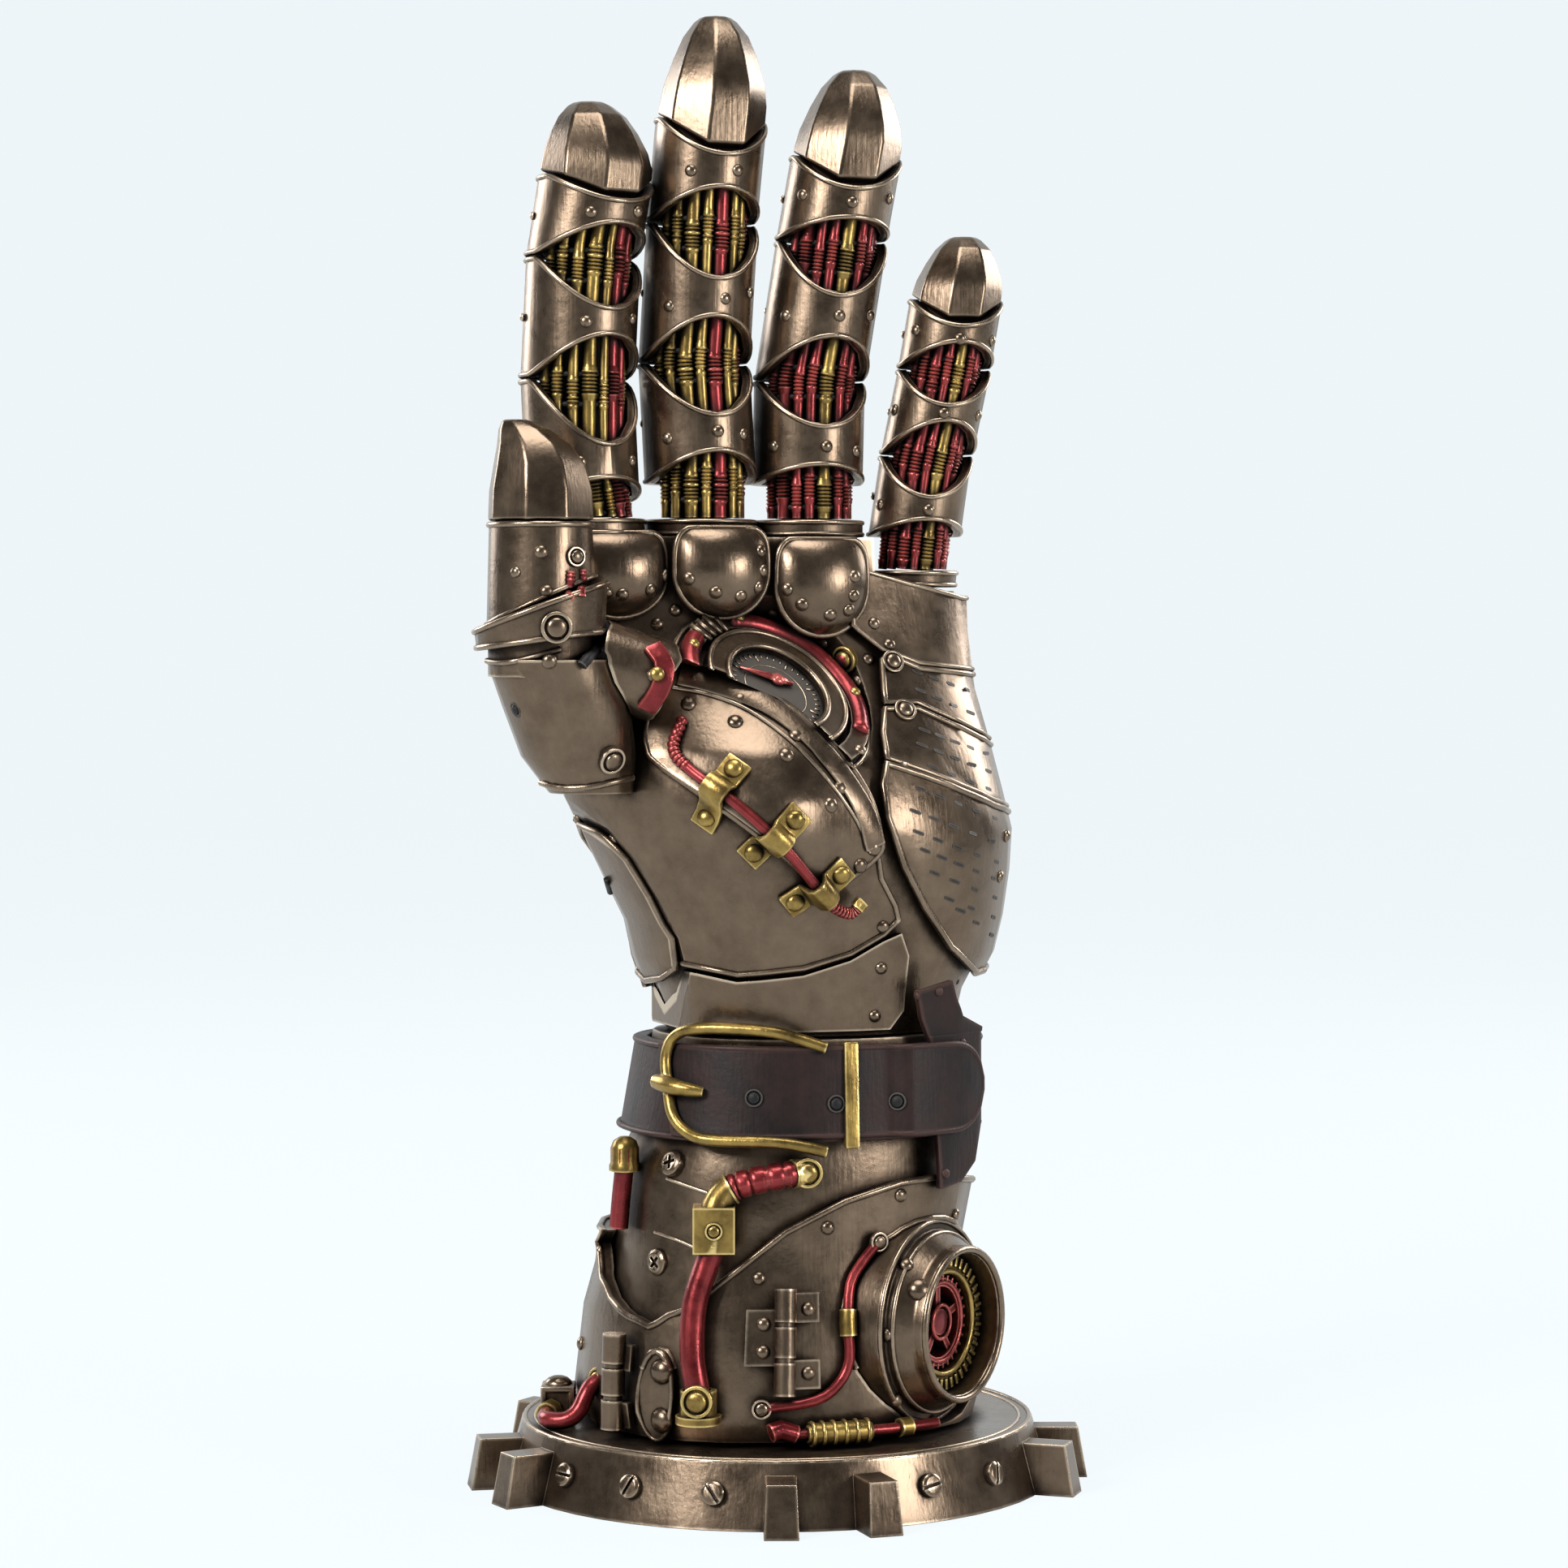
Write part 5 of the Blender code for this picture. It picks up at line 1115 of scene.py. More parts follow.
def cutByPlate(piece):  # the raised plate hides the dial's lower left half
    rings = [[inPalm(across * skin["handWide"], skin["heel"] + up * skin["handTall"], out)
              for across, up in thenarOutline] for out in (0.0, 70.0)]
    cutWith(piece, loftPiece("plateCutter", rings))


def onDial(radius, angle, height):  # angle in degrees, clockwise from the dial's top
    turn = math.radians(angle)
    way = dialAcross * math.sin(turn) + dialUp * math.cos(turn)
    return dialSpot + (way * radius + dialOut * height) * mm


def dialRing(radius, height, count=64):
    return [onDial(radius, 360.0 * k / count, height) for k in range(count)]


def dialArc(radius, height, start, end):
    return [onDial(radius, start + (end - start) * k / 24, height) for k in range(25)]


rings = [(dialRing(radius, height), thick, True) for radius, height, thick in dialPlan["rings"]]
beads("dialRings", rings, bronze)
arcs = [rod(dialArc(dialPlan["arc"], 1.1, *ends), dialPlan["arcThick"] * mm) for ends in dialPlan["arcs"]]
finish(joined(arcs), "dialRedArcs", red, smooth=60.0)
bars = [([onDial(15.6, angle, 1.8), onDial(20.6, angle, 1.8)], 0.62, False) for angle in dialPlan["bars"]]
beads("dialBars", bars, bronze)
places = [aimed(onDial(dialPlan["arc"], angle, 2.9), dialOut, 1.1 * mm) for angle in dialPlan["arcRivets"]]
finish(stamped(rivet, places), "dialRivets", gold)
face = loftPiece("dialFace", [dialRing(dialPlan["face"], 1.2), dialRing(dialPlan["face"], 1.5)])
finish(face, "dialFace", darkAndPaintedShade, ("dial_glass",), 30.0)
ticks = []
for k in range(dialPlan["ticks"]):
    angle = 360.0 * k / dialPlan["ticks"]
    inner, thick = (8.5, 0.13) if k % 5 else (7.6, 0.2)  # every fifth one is longer
    ticks.append(([onDial(inner, angle, 1.55), onDial(9.5, angle, 1.55)], thick, False))
ticks.append((dialRing(6.6, 1.5), 0.12, True))
beads("dialTicks", ticks, bronze)
needle = rod([onDial(*spot) for spot in dialPlan["needle"]], 0.6 * mm, [0.8, 1.5, 0.4])
places = [aimed(onDial(2.6, 32, 2.2), dialOut, 1.5 * mm)]
finish(joined([needle, stamped(rivet, places)]), "dialNeedle", red)
for name in ("dialRings", "dialRedArcs", "dialBars", "dialFace", "dialTicks", "dialNeedle"):
    cutByPlate(bpy.data.objects[name])
studs("palmGear", boss, [(1042, 812, 2.7)], ["palm_dial", "palm_core"], gold)
studs("palmGearCentre", rivet, [(1042, 812, 1.3)], ["palm_dial", "palm_core"], red, -0.9)
print("dial ready")

# Pipe over the thumb's plate, with its ribbed ends and three strapped clamps
thenarRoute = ((-0.60, 0.615), (-0.655, 0.55), (-0.60, 0.505), (-0.46, 0.44), (-0.28, 0.35), (-0.10, 0.255),
               (-0.02, 0.215), (0.06, 0.20), (0.11, 0.225))
pipePlan = {"radius": 1.05, "lift": 4.25, "ribbed": (0.22, 0.70), "rib": 1.18, "waist": 0.86, "end": 1.5}


def thenarSpot(share, lift):
    return onFront(share[0] * skin["handWide"], skin["heel"] + share[1] * skin["handTall"], lift)


pipeLine = smoothLine([thenarSpot(share, pipePlan["lift"]) for share in thenarRoute], 16)
radii = []
for k in range(len(pipeLine)):
    plain = pipePlan["ribbed"][0] <= k / (len(pipeLine) - 1) <= pipePlan["ribbed"][1]
    radii.append(1.0 if plain else pipePlan["rib" if k % 3 else "waist"])
pipe = rod(pipeLine, pipePlan["radius"] * mm, radii)
finish(pipe, "thenarPipeRibbed", red, stands=("thenar_pipe",), smooth=70.0)
finish(rod(pipeLine[-9:], pipePlan["end"] * mm), "thenarPipeEnd", gold)


def strap(points, ups, width, thick):  # flat band along points, with ups as its outward side
    form = bmesh.new()
    rows = []
    for k, point in enumerate(points):
        ahead = (points[min(k + 1, len(points) - 1)] - points[max(k - 1, 0)]).normalized()
        side = ahead.cross(ups[k]).normalized() * width * mm / 2
        rows.append((form.verts.new(point - side), form.verts.new(point + side)))
    for low, high in zip(rows, rows[1:]):
        form.faces.new((low[0], low[1], high[1], high[0]))
    piece = pieceFrom(form, "strap")
    applyStep(piece, "SOLIDIFY", thickness=thick * mm, offset=0.0)
    edge = min(0.35, thick * 0.3) * mm
    applyStep(piece, "BEVEL", width=edge, segments=2, limit_method="ANGLE", angle_limit=0.7)
    return piece


shellNames = ["thenar_upper", "thenar_lower"]
clampPlan = {"width": 5.4, "thick": 1.1, "bolt": 1.9, "boltOff": 0.86, "reach": 5.6, "rise": 1.6,
             "at": (0.33, 0.49, 0.65),
             "hump": ((0.0, 1.06), (0.16, 1.0), (0.30, 0.75), (0.42, 0.0), (0.8, 0.0), (1.25, 0.0))}
hump = [(-off, lift) for off, lift in reversed(clampPlan["hump"][1:])] + list(clampPlan["hump"])
shellTree = [treeOf(name) for name in shellNames]


def onShell(point, out=None):  # outermost place on the thumb's plates under a point
    out = out or facing(palmTurn)
    hits = [tree.ray_cast(point + out * 15 * mm, -out) for tree in shellTree]
    best = min((hit for hit in hits if hit[0]), key=lambda hit: hit[3])
    return best[0], best[1]


clamps = []
bolts = []
for share in clampPlan["at"]:
    k = int(share * (len(pipeLine) - 1))
    spot = pipeLine[k]
    along = (pipeLine[k + 2] - pipeLine[k - 2]).normalized()
    up = onShell(spot)[1]
    side = along.cross(up).normalized()
    points = []
    for off, lift in hump:
        beside = spot + side * off * clampPlan["reach"] * mm
        foot, out = onShell(beside, up)
        points.append((foot + out * 0.5 * mm).lerp(beside + up * clampPlan["rise"] * mm, lift))
    clamps.append(strap(points, [up] * len(points), clampPlan["width"], clampPlan["thick"]))
    for off in (-clampPlan["boltOff"], clampPlan["boltOff"]):
        foot, out = onShell(spot + side * off * clampPlan["reach"] * mm, up)
        bolts.append(aimed(foot + out * 1.1 * mm, up, clampPlan["bolt"] * mm))
finish(joined(clamps), "pipeClamps", gold)
bandLine = seenLine(shellBand, ["thenar_upper"], 0.25)
ways = [onShell(point)[1] for point in bandLine]
finish(strap(bandLine, ways, 4.4, 1.0), "shellRimBand", bronze, smooth=50.0)
finish(stamped(rivet, bolts), "clampBolts", gold)
print("thumb plate pipe ready")

# Belt tongue over the leather tab, with rolled edges and holes
tonguePlan = {"left": -27.5, "right": 33.2, "middle": 79.6, "half": 8.3, "thick": 1.3, "rest": 3.9,
              "over": 2.5, "from": 11.0, "to": 16.0, "roll": 0.62,
              "rolls": (70.6, 87.4),  # heights of the belt's own rolled edges
              "holes": ((929, 1353, 1.75), (1030, 1360, 1.75), (1106, 1357, 1.75))}


def tongueSpot(across, height):  # to the right it climbs over the tab
    rise = min(max((across - tonguePlan["from"]) / (tonguePlan["to"] - tonguePlan["from"]), 0.0), 1.0)
    rise = rise * rise * (3 - 2 * rise)
    return onFront(across, height, tonguePlan["rest"] + tonguePlan["over"] * rise)


form = bmesh.new()
rows = []
edges = ([], [])
for k in range(61):
    across = tonguePlan["left"] + (tonguePlan["right"] - tonguePlan["left"]) * k / 60
    near = max(0.0, (across - tonguePlan["right"] + tonguePlan["half"]) / tonguePlan["half"])
    half = tonguePlan["half"] * math.sqrt(max(0.02, 1.0 - near ** 2.4))
    row = [tongueSpot(across, tonguePlan["middle"] + half * (i / 4 - 1)) for i in range(9)]
    edges[0].append(row[0])
    edges[1].append(row[8])
    rows.append([form.verts.new(point) for point in row])
for low, high in zip(rows, rows[1:]):
    for i in range(8):
        form.faces.new((low[i], low[i + 1], high[i + 1], high[i]))
bmesh.ops.recalc_face_normals(form, faces=form.faces)
tongue = pieceFrom(form, "beltTongue")
applyStep(tongue, "SOLIDIFY", thickness=tonguePlan["thick"] * mm, offset=0.0)
finish(tongue, "beltTongue", leather, smooth=60.0)
carryTree("beltTongue", tongue)
lift = facing(palmTurn) * 0.3 * mm
outline = [point + lift for point in edges[0]] + [point + lift for point in reversed(edges[1])]
lines = [(outline[:-1], tonguePlan["roll"], True)]
for height in tonguePlan["rolls"]:
    lines.append(([around(angle, height, 3.1) for angle in range(0, 360, 6)], 0.6, True))
beads("beltRolls", lines, leather)
# Dark discs paint the shade inside the belt tongue's holes
studs("beltHoles", boss, tonguePlan["holes"], ["beltTongue"], darkAndPaintedShade, 0.2)
tabStuds = ((1130, 1227), (1157, 1222), (1186, 1285), (1149, 1452), (1165, 1446))
studs("tabStuds", rivet, [(x, y, 0.8) for x, y in tabStuds], ["wrist_tab"], leather)


# Buckle: a round frame that stands over the belt, and its prong, as shares across and up, with the lift
def onBelt(across, up, lift):
    return onFront(across * skin["forearmWide"], up * skin["wrist"], lift)


buckleRoute = ((-0.04, 0.985), (-0.18, 1.005), (-0.34, 1.022), (-0.62, 1.025), (-0.715, 1.005),
               (-0.755, 0.96), (-0.76, 0.90), (-0.755, 0.84), (-0.71, 0.805), (-0.62, 0.79), (-0.34, 0.788),
               (-0.18, 0.778), (-0.06, 0.765))
prongRoute = ((-0.80, 0.905, 5.9), (-0.76, 0.90, 6.8), (-0.70, 0.895, 6.4), (-0.63, 0.89, 5.4))
prongRadii = [1.5, 1.7, 1.8, 1.8, 1.7, 1.6, 1.5, 1.4, 1.4, 1.3, 1.2, 1.1, 0.9]
buckle = rod(smoothLine([onBelt(across, up, 5.5) for across, up in buckleRoute], 5), 1.15 * mm)
prong = rod(smoothLine([onBelt(*spot) for spot in prongRoute], 4), 1.0 * mm, prongRadii)
finish(joined([buckle, prong]), "buckleFrame", gold, stands=("belt_buckle",), smooth=60.0)
print("belt ready")

# Forearm: rivets, screws and scribed lines by their places in the photo
forearmNames = ["forearm_core", "lower_cuff", "front_hinge", "left_hinge", "gear_port", "front_pipe_cap",
                "front_pipe_box", "foot_capsule", "cog_base"]
cuffRivets = ((935, 1575), (1020, 1513), (1110, 1473), (850, 1640), (716, 1655), (996, 1613), (996, 1692),
              (941, 1632), (940, 1666), (1177, 1497), (1117, 1558), (1091, 1645), (1105, 1725),
              (1148, 1752), (1218, 1527))
bigRivets = ((1132, 1589, 1.9), (815, 1690, 2.1), (815, 1750, 2.1), (775, 1388, 1.3), (768, 1420, 1.3),
             (765, 1455, 1.3))
ovalPlan = {"angle": -33.0, "height": 22.0, "wide": 6.2, "tall": 8.6, "lift": 4.8}
scribed = (((822, 1452), (850, 1462), (890, 1476)), ((807, 1518), (840, 1530), (872, 1545)))
studs("cuffRivets", rivet, [(x, y, 1.15) for x, y in cuffRivets], forearmNames, bronze)
studs("bigRivets", rivet, bigRivets, forearmNames, bronze)
studs("forearmScrews", crossScrew, [(830, 1434, 2.6, 20), (812, 1555, 2.6, 50)], forearmNames, bronze)
oval = []
for k in range(32):
    turn = 2 * math.pi * k / 32
    oval.append(around(ovalPlan["angle"] + ovalPlan["wide"] * math.cos(turn),
                       ovalPlan["height"] + ovalPlan["tall"] * math.sin(turn), ovalPlan["lift"]))
lines = [(seenLine(pixels, ["forearm_core"], 0.0), 0.4, False) for pixels in scribed]
beads("forearmLines", [(oval, 0.5, True)] + lines, bronze)

# Front pipe with its brass: angle, height as a share of the wrist's, and lift as a share of the radius
frontPlan = {"radius": 2.5, "ribbed": (9, 27), "rib": 1.08, "waist": 0.86, "elbow": 2.85, "collar": 3.25,
             "foot": 2.9, "collars": (28, 42, 56)}
frontRoute = ((10.0, 0.722, 0.9), (3.0, 0.716, 1.4), (-7.0, 0.703, 1.5), (-14.0, 0.685, 1.6),
              (-17.0, 0.65, 2.1), (-17.0, 0.60, 2.3), (-17.5, 0.55, 2.35), (-20.5, 0.45, 2.5),
              (-20.0, 0.345, 2.45), (-18.0, 0.27, 2.45), (-17.5, 0.22, 2.45))
radius = frontPlan["radius"]
line = smoothLine([around(angle, up * skin["wrist"], far * radius) for angle, up, far in frontRoute], 10)
radii = []
for k in range(len(line)):
    ribbed = frontPlan["ribbed"][0] <= k <= frontPlan["ribbed"][1]
    radii.append(frontPlan["rib" if k % 5 else "waist"] if ribbed else 1.0)
finish(rod(line, radius * mm, radii), "frontPipeRibbed", red, stands=("front_pipe",), smooth=70.0)
elbow = rod(line[28:44], frontPlan["elbow"] * mm)
collars = [rod(line[k:k + 2], frontPlan["collar"] * mm) for k in frontPlan["collars"]]
start = rod([line[0], line[3], line[7]], frontPlan["foot"] * mm)
knob = aimed(line[1] + facing(0.2) * 1.6 * mm, facing(math.radians(8.0)), frontPlan["foot"] * mm)
finish(joined([elbow, start] + collars + [stamped(boss, [knob])]), "frontPipeBrass", gold, smooth=50.0)
low, high = (Vector(corner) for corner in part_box("front_pipe_box"))
spot = Vector(((low.x + high.x) / 2, low.y + 0.2 * mm, (low.z + high.z) / 2))
finish(stamped(boss, [aimed(spot, Vector((0, -1, 0)), 1.7 * mm)]), "brassDots", gold)
studs("capDome", boss, [(859, 1727, 3.1)], ["front_pipe_cap"], gold)

# Cap of the left pipe, as heights above its seat and shares of its radius, and ends of the thin pipe
capRows = ((-1.6, 0.9), (-1.5, 1.02), (-0.4, 1.02), (0.2, 0.93), (3.0, 0.93), (4.4, 0.75), (5.2, 0.35))
leftTop = around(-62.0, 0.72 * skin["wrist"], 2.9)
leftCap = rod([leftTop + Vector((0, 0, up)) * mm for up, share in capRows], 3.0 * mm,
              [share for up, share in capRows])
finish(leftCap, "leftPipeCap", gold, smooth=50.0)
thinFar = 3.4 + 1.05  # plate and pipe radius
thinRoute = ((29.0, 50.8, 0.0), (25.0, 47.0, 0.0), (22.0, 43.0, 0.0), (21.0, 36.0, 0.3), (21.0, 29.0, 0.2),
             (19.0, 24.5, 0.0), (13.6, 21.6, 0.0), (0.0, 20.4, 0.0))
line = smoothLine([around(angle, height, thinFar + more) for angle, height, more in thinRoute], 3)
finish(rod([line[8], line[9], line[10]], 1.7 * mm), "thinPipeFerrule", gold, smooth=50.0)
eyes = []
for spot, angle in ((line[0], 30.0), (line[-1], 0.0)):
    eyes.append(aimed(spot, facing(math.radians(angle)), 1.9 * mm))
finish(stamped(boss, eyes), "thinPipeEyes", bronze)

# Gear port: radius, height along its axis and thickness of each ring
portPlan = {"axis": 57.0, "height": 34.0, "rings": ((14.5, 43.0, 0.75), (17.3, 37.5, 0.5), (19.4, 36.0, 0.5)),
            "toothRing": ((10.0, 38.9, 0.6),), "wheelRings": ((7.7, 37.8, 0.45), (3.3, 38.0, 0.4))}
portPlace = aimed(Vector((0, 0, portPlan["height"])) * mm, facing(math.radians(portPlan["axis"])))


def portRings(rows):
    return [(ringAt(portPlace, radius, height), thick, True) for radius, height, thick in rows]


beads("portRings", portRings(portPlan["rings"]), bronze)
beads("portTeeth", spokesAt(portPlace, 11.0, 13.0, 38.9, 40, 0.5) + portRings(portPlan["toothRing"]), gold)
beads("wheelTeeth", spokesAt(portPlace, 7.9, 9.1, 37.6, 30, 0.42) + portRings(portPlan["wheelRings"]), red)

# Rings of the foot capsule, by their shifts along it, and the ends of its pipe
capsulePlan = {"height": 15.4, "lift": 5.6, "ring": 2.2, "pipe": 1.9,
               "shifts": (-5.6, -3.6, -1.4, 0.9, 3.2, 5.5)}
low = capsulePlan["height"]
far = capsulePlan["lift"]
axis = (around(21.0, low, far) - around(17.0, low, far)).normalized()
middle = around(19.0, low, far)
rings = []
for shift in capsulePlan["shifts"]:
    rings.append((ringAt(aimed(middle + axis * shift * mm, axis), capsulePlan["ring"], 0.0, 20), 0.42, True))
beads("capsuleRings", rings, gold)
elbow = [around(2.5, low + 0.6, far + 0.6), around(5.0, low + 1.2, far), around(9.0, low, far)]
finish(rod(elbow, capsulePlan["pipe"] * mm), "capsuleElbow", red, smooth=60.0)
clip = [around(33.0, low, far), around(36.5, low, far)]
finish(rod(clip, capsulePlan["pipe"] * mm), "footPipeClip", gold, smooth=50.0)

# Little valve box beside the forearm, on the cog
boxPlan = {"spot": (-43.0, -8.0, 16.2), "size": (6.6, 7.4, 7.0), "top": 2.8, "hose": 1.7, "nut": 2.4,
           "sleeve": 2.3,
           "hoseRoute": ((-34.6, -16.5, 22.0), (-36.5, -18.5, 20.5), (-38.5, -19.8, 16.5),
                         (-41.0, -20.2, 14.8), (-44.5, -18.5, 14.6), (-45.0, -14.0, 14.9),
                         (-44.0, -11.0, 15.2)),
           "sleeveEnds": ((-45.0, -14.6, 14.9), (-44.2, -11.6, 15.2))}
deselect()
middle = Vector(boxPlan["spot"]) * mm
bpy.ops.mesh.primitive_cube_add(size=1.0, location=middle, scale=Vector(boxPlan["size"]) * mm)
box = bpy.context.object
settle(box)
bpy.ops.object.mode_set(mode="EDIT")
pickFaces(box, lambda face: face.normal.z < 0.5)
bpy.ops.mesh.inset(thickness=1.0 * mm, use_individual=True)
bpy.ops.mesh.inset(thickness=0.2 * mm, depth=-0.4 * mm, use_individual=True)
bpy.ops.object.mode_set(mode="OBJECT")
applyStep(box, "BEVEL", width=0.3 * mm, segments=2, limit_method="ANGLE", angle_limit=0.6)
top = middle + Vector((0, 0, boxPlan["size"][2] / 2)) * mm
dome = stamped(rivet, [aimed(top, Vector((0, 0, 1)), boxPlan["top"] * mm)])
finish(joined([box, dome]), "valveBox", bronze)
line = [Vector(spot) * mm for spot in boxPlan["hoseRoute"]]
finish(rod(smoothLine(line, 5), boxPlan["hose"] * mm), "valveHose", red, smooth=60.0)
nut = stamped(boss, [aimed(line[0], Vector((-0.6, -0.7, 0.2)), boxPlan["nut"] * mm)])
sleeve = rod([Vector(spot) * mm for spot in boxPlan["sleeveEnds"]], boxPlan["sleeve"] * mm)
finish(joined([nut, sleeve]), "valveBrass", gold, smooth=50.0)

# Cog base: slotted screws and rolled edges
basePlan = {"angles": (-50.0, -31.5, -13.0, 33.5, 52.0, 110.0, 130.0, 190.0, 206.0), "radius": 52.6,
            "height": 6.8, "lean": 0.28, "screw": 2.25, "rolls": ((50.0, 12.35, 0.5), (48.0, 12.45, 0.3))}
places = []
for k, angle in enumerate(basePlan["angles"]):
    out = facing(math.radians(angle))
    lean = (out + Vector((0, 0, basePlan["lean"]))).normalized()
    spot = out * basePlan["radius"] * mm + Vector((0, 0, basePlan["height"])) * mm
    places.append(aimed(spot, lean, basePlan["screw"] * mm, k * 1.1))
finish(stamped(slotScrew, places), "baseScrews", bronze)
rolls = [(ringAt(Matrix(), radius, height, 96), thick, True) for radius, height, thick in basePlan["rolls"]]
beads("baseRolls", rolls, bronze)
print("forearm and base ready")

# Thumb
thumbAxis = (-44.5 * mm, -37.2 * mm)
edgeRim("thumbCuffUpperRim", "thumb_cuff_upper", 0.6, axis=thumbAxis)
edgeRim("thumbCuffLowerRim", "thumb_cuff_lower", 0.6, axis=thumbAxis)
thumbNames = ["thumb_sleeve", "thumb_cuff_lower", "thumb_cuff_upper", "thumb_claw", "thumb_root"]
thumbRivets = ((667, 680, 1.1), (674, 729, 1.1), (677, 815, 1.2), (717, 682, 1.0), (635, 705, 0.9))
studs("thumbRivets", rivet, thumbRivets, thumbNames, bronze)
studs("thumbPivots", boss, [(685, 773, 3.0), (753, 936, 2.7)], thumbNames, bronze)
# A dark disc paints the shade inside the thumb's hole
studs("thumbHole", boss, [(635, 875, 1.6)], thumbNames, darkAndPaintedShade, 0.5)
sleeveRolls = ((((588, 812), (620, 816), (655, 810), (690, 800)), 0.6),
               (((662, 962), (690, 970), (728, 969), (778, 958)), 0.7))
lines = [(seenLine(pixels, thumbNames, 0.1), thick, False) for pixels, thick in sleeveRolls]
beads("thumbSleeveRolls", lines, bronze)
redBand = {"route": ((802, 796, 0), (818, 822, 0), (812, 850, 0), (796, 872, 0)), "width": 3.8, "thick": 1.2,
           "lift": 0.5}
hits = [seen(spot.x, spot.y, thumbNames + shellNames) for spot in smoothLine(redBand["route"], 4)]
points = [point + up * redBand["lift"] * mm for point, up in filter(None, hits)]
ups = [up for point, up in filter(None, hits)]
finish(strap(points, ups, redBand["width"], redBand["thick"]), "thumbRedBand", red, smooth=50.0)
studs("thumbBandRivet", rivet, [(808, 832, 1.2)], thumbNames + shellNames, gold, -1.4)
lever = seenLine(((756, 757), (738, 788), (714, 820)), thumbNames, 0.9)
finish(rod(lever, 1.1 * mm), "thumbLever", darkAndPaintedShade, smooth=60.0)
print("thumb ready")

# Springs and a little plate by the thumb, a cut-out in the side plate, a perforated strip at the wrist
springPlan = {"radius": 0.95, "rib": 1.05, "waist": 0.82, "routes": {
    "thumbSprings": ((703, 704), (702, 720), (701, 736)),
    "thumbSpringsRear": ((717, 702), (717, 718), (716, 734))}}
for name, route in springPlan["routes"].items():
    line = seenLine(route, thumbNames, 0.1, 6)
    swells = [springPlan["waist" if k % 2 else "rib"] for k in range(len(line))]
    finish(rod(line, springPlan["radius"] * mm, swells), name, red, smooth=50.0)
cutRoute = ((748, 1082), (754, 1102), (761, 1122), (768, 1138))
# A dark rod along the cut-out paints the shade inside it
cut = rod(seenLine(cutRoute, ["side_plate"], 0.1, 6), 0.7 * mm)
finish(cut, "sidePlateCut", darkAndPaintedShade, smooth=50.0)
studs("thumbPlateRivets", boss, [(709, 686, 1.9)], thumbNames, bronze)
wristHoles = ((1180, 1210), (1190, 1214), (1184, 1226), (1194, 1230), (1182, 1242), (1192, 1246),
              (1180, 1257), (1190, 1261))
# Dark discs paint the shade inside the wrist strip's perforations
studs("wristSlots", boss, [(x, y, 0.55) for x, y in wristHoles], ["palm_core", "wrist_collar", "back_plate"],
      darkAndPaintedShade, 0.1)
print("small trims ready")


# Back of the hand and forearm, which carries the front's style round
def backSpot(across, up, lift):  # up as a share of the hand's height
    left, right, front, back = skinReach(skin["heel"] + skin["handTall"] * up)
    share = min(0.98, abs(across - (right - left) / 2) / ((left + right) / 2))
    depth = back * (1 - share ** skin["power"]) ** (1 / skin["power"])
    return inPalm(across, skin["heel"] + skin["handTall"] * up, -depth - lift)


def onWall(angle, height, lift, radius):  # a small part's place on the round of the forearm
    return aimed(around(angle, height, lift), facing(math.radians(angle)), radius * mm)


ribPlan = {"tops": ((-30.0, 0.90), (-8.0, 0.92), (14.0, 0.90), (34.0, 0.76)), "foot": 0.12, "narrow": 0.72,
           "steps": 12, "radius": 0.75, "rivet": 1.9}
ribs = []
places = []
for across, top in ribPlan["tops"]:
    line = []
    for k in range(ribPlan["steps"] + 1):
        share = k / ribPlan["steps"]
        wide = ribPlan["narrow"] + (1.0 - ribPlan["narrow"]) * share
        line.append(backSpot(across * wide, ribPlan["foot"] + (top - ribPlan["foot"]) * share, 0.0))
    ribs.append((line, ribPlan["radius"], False))
    for end in (line[0], line[-1]):
        places.append(aimed(end, Vector((end.x, end.y, 0)).normalized(), ribPlan["rivet"] * mm))
beads("backRibs", ribs, bronze)
for angle in range(100, 300, 20):
    for height in (45.5, 16.5):
        places.append(onWall(angle, height, 3.2, 1.1))
finish(stamped(rivet, places), "backRivets", bronze)

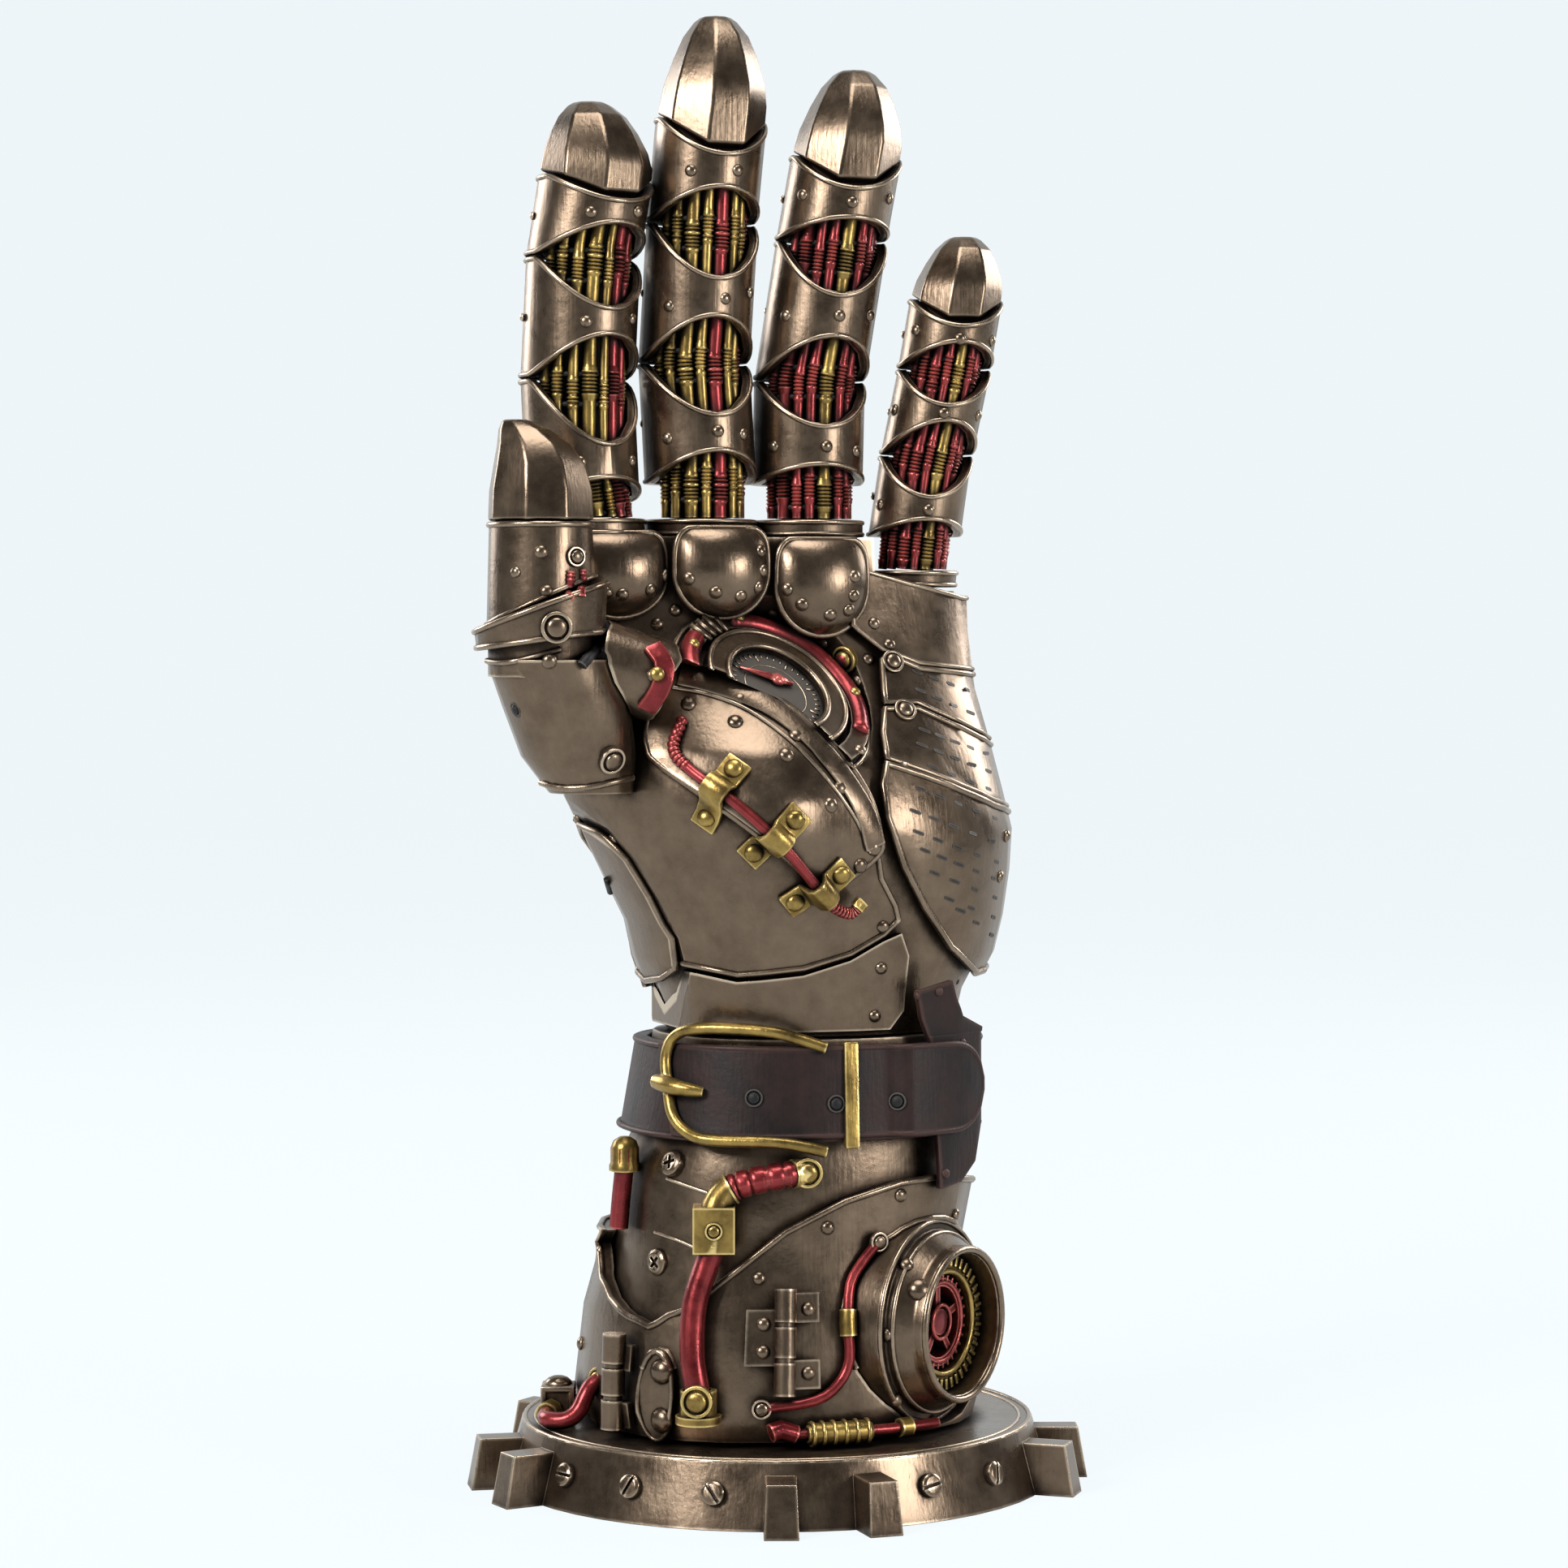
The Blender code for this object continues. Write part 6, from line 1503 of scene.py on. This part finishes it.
# Three small cogs on the back plate: place across and up, radius, number of teeth
cogPlan = {"cogs": ((-18.5, 0.62, 7.0, 14), (3.0, 0.50, 9.0, 18), (23.5, 0.58, 6.4, 12)),
           "lift": 2.0, "hubLift": 1.8,
           "inner": 0.42, "outer": 0.82, "toothFoot": 0.84, "toothTip": 1.04, "hub": 0.36, "spokes": 5}
backOut = -facing(palmTurn)
wheels = []
teeth = []
hubs = []
for across, up, radius, count in cogPlan["cogs"]:
    place = aimed(backSpot(across, up, cogPlan["lift"]), backOut)
    inner = cogPlan["inner"] * radius
    outer = cogPlan["outer"] * radius
    for far in (inner, outer):
        wheels.append((ringAt(place, far, 0.0, 36), 0.62, True))
    wheels += spokesAt(place, inner, outer, 0.0, cogPlan["spokes"], 0.6)
    teeth += spokesAt(place, cogPlan["toothFoot"] * radius, cogPlan["toothTip"] * radius, 0.0, count, 0.62)
    hubs.append(aimed(backSpot(across, up, cogPlan["hubLift"]), backOut, cogPlan["hub"] * radius * mm))
beads("backCogs", wheels + teeth, gold)
finish(stamped(boss, hubs), "backHubs", bronze)

# Three red pipes out of the belt and into the cuff, as turn, height and lift from each pipe's own angle
backPipePlan = {"angles": (142.0, 181.0, 220.0), "radius": 1.8, "sleeve": 2.4, "foot": 2.9,
                "route": ((0, 69.0, 2.2), (0, 63.0, 2.6), (3, 56.0, 3.4), (4, 47.0, 5.0), (4, 42.0, 5.4))}
pipes = []
collars = []
for angle in backPipePlan["angles"]:
    spots = [around(angle + turn, height, lift) for turn, height, lift in backPipePlan["route"]]
    line = smoothLine(spots, 4)
    pipes.append(rod(line, backPipePlan["radius"] * mm))
    collars.append(rod(line[2:5], backPipePlan["sleeve"] * mm))
    turn, height, lift = backPipePlan["route"][-1]
    collars.append(stamped(boss, [onWall(angle + turn, height, lift, backPipePlan["foot"])]))
finish(joined(pipes), "backPipes", red, smooth=60.0)
finish(joined(collars), "backPipeBrass", gold, smooth=50.0)

# Two rows of rivets: count, start and step across, share of the height, lift, radius
rivetRows = ((8, -29.0, 7.6, 0.945, 1.3, 1.1), (7, -21.0, 7.0, 0.05, 1.0, 1.0))
places = []
for count, start, step, up, lift, radius in rivetRows:
    for k in range(count):
        places.append(aimed(backSpot(start + k * step, up, lift), backOut, radius * mm))
finish(stamped(rivet, places), "backPlateRivets", bronze)
print("back ready")

for template in templates:
    bpy.data.objects.remove(template, do_unlink=True)
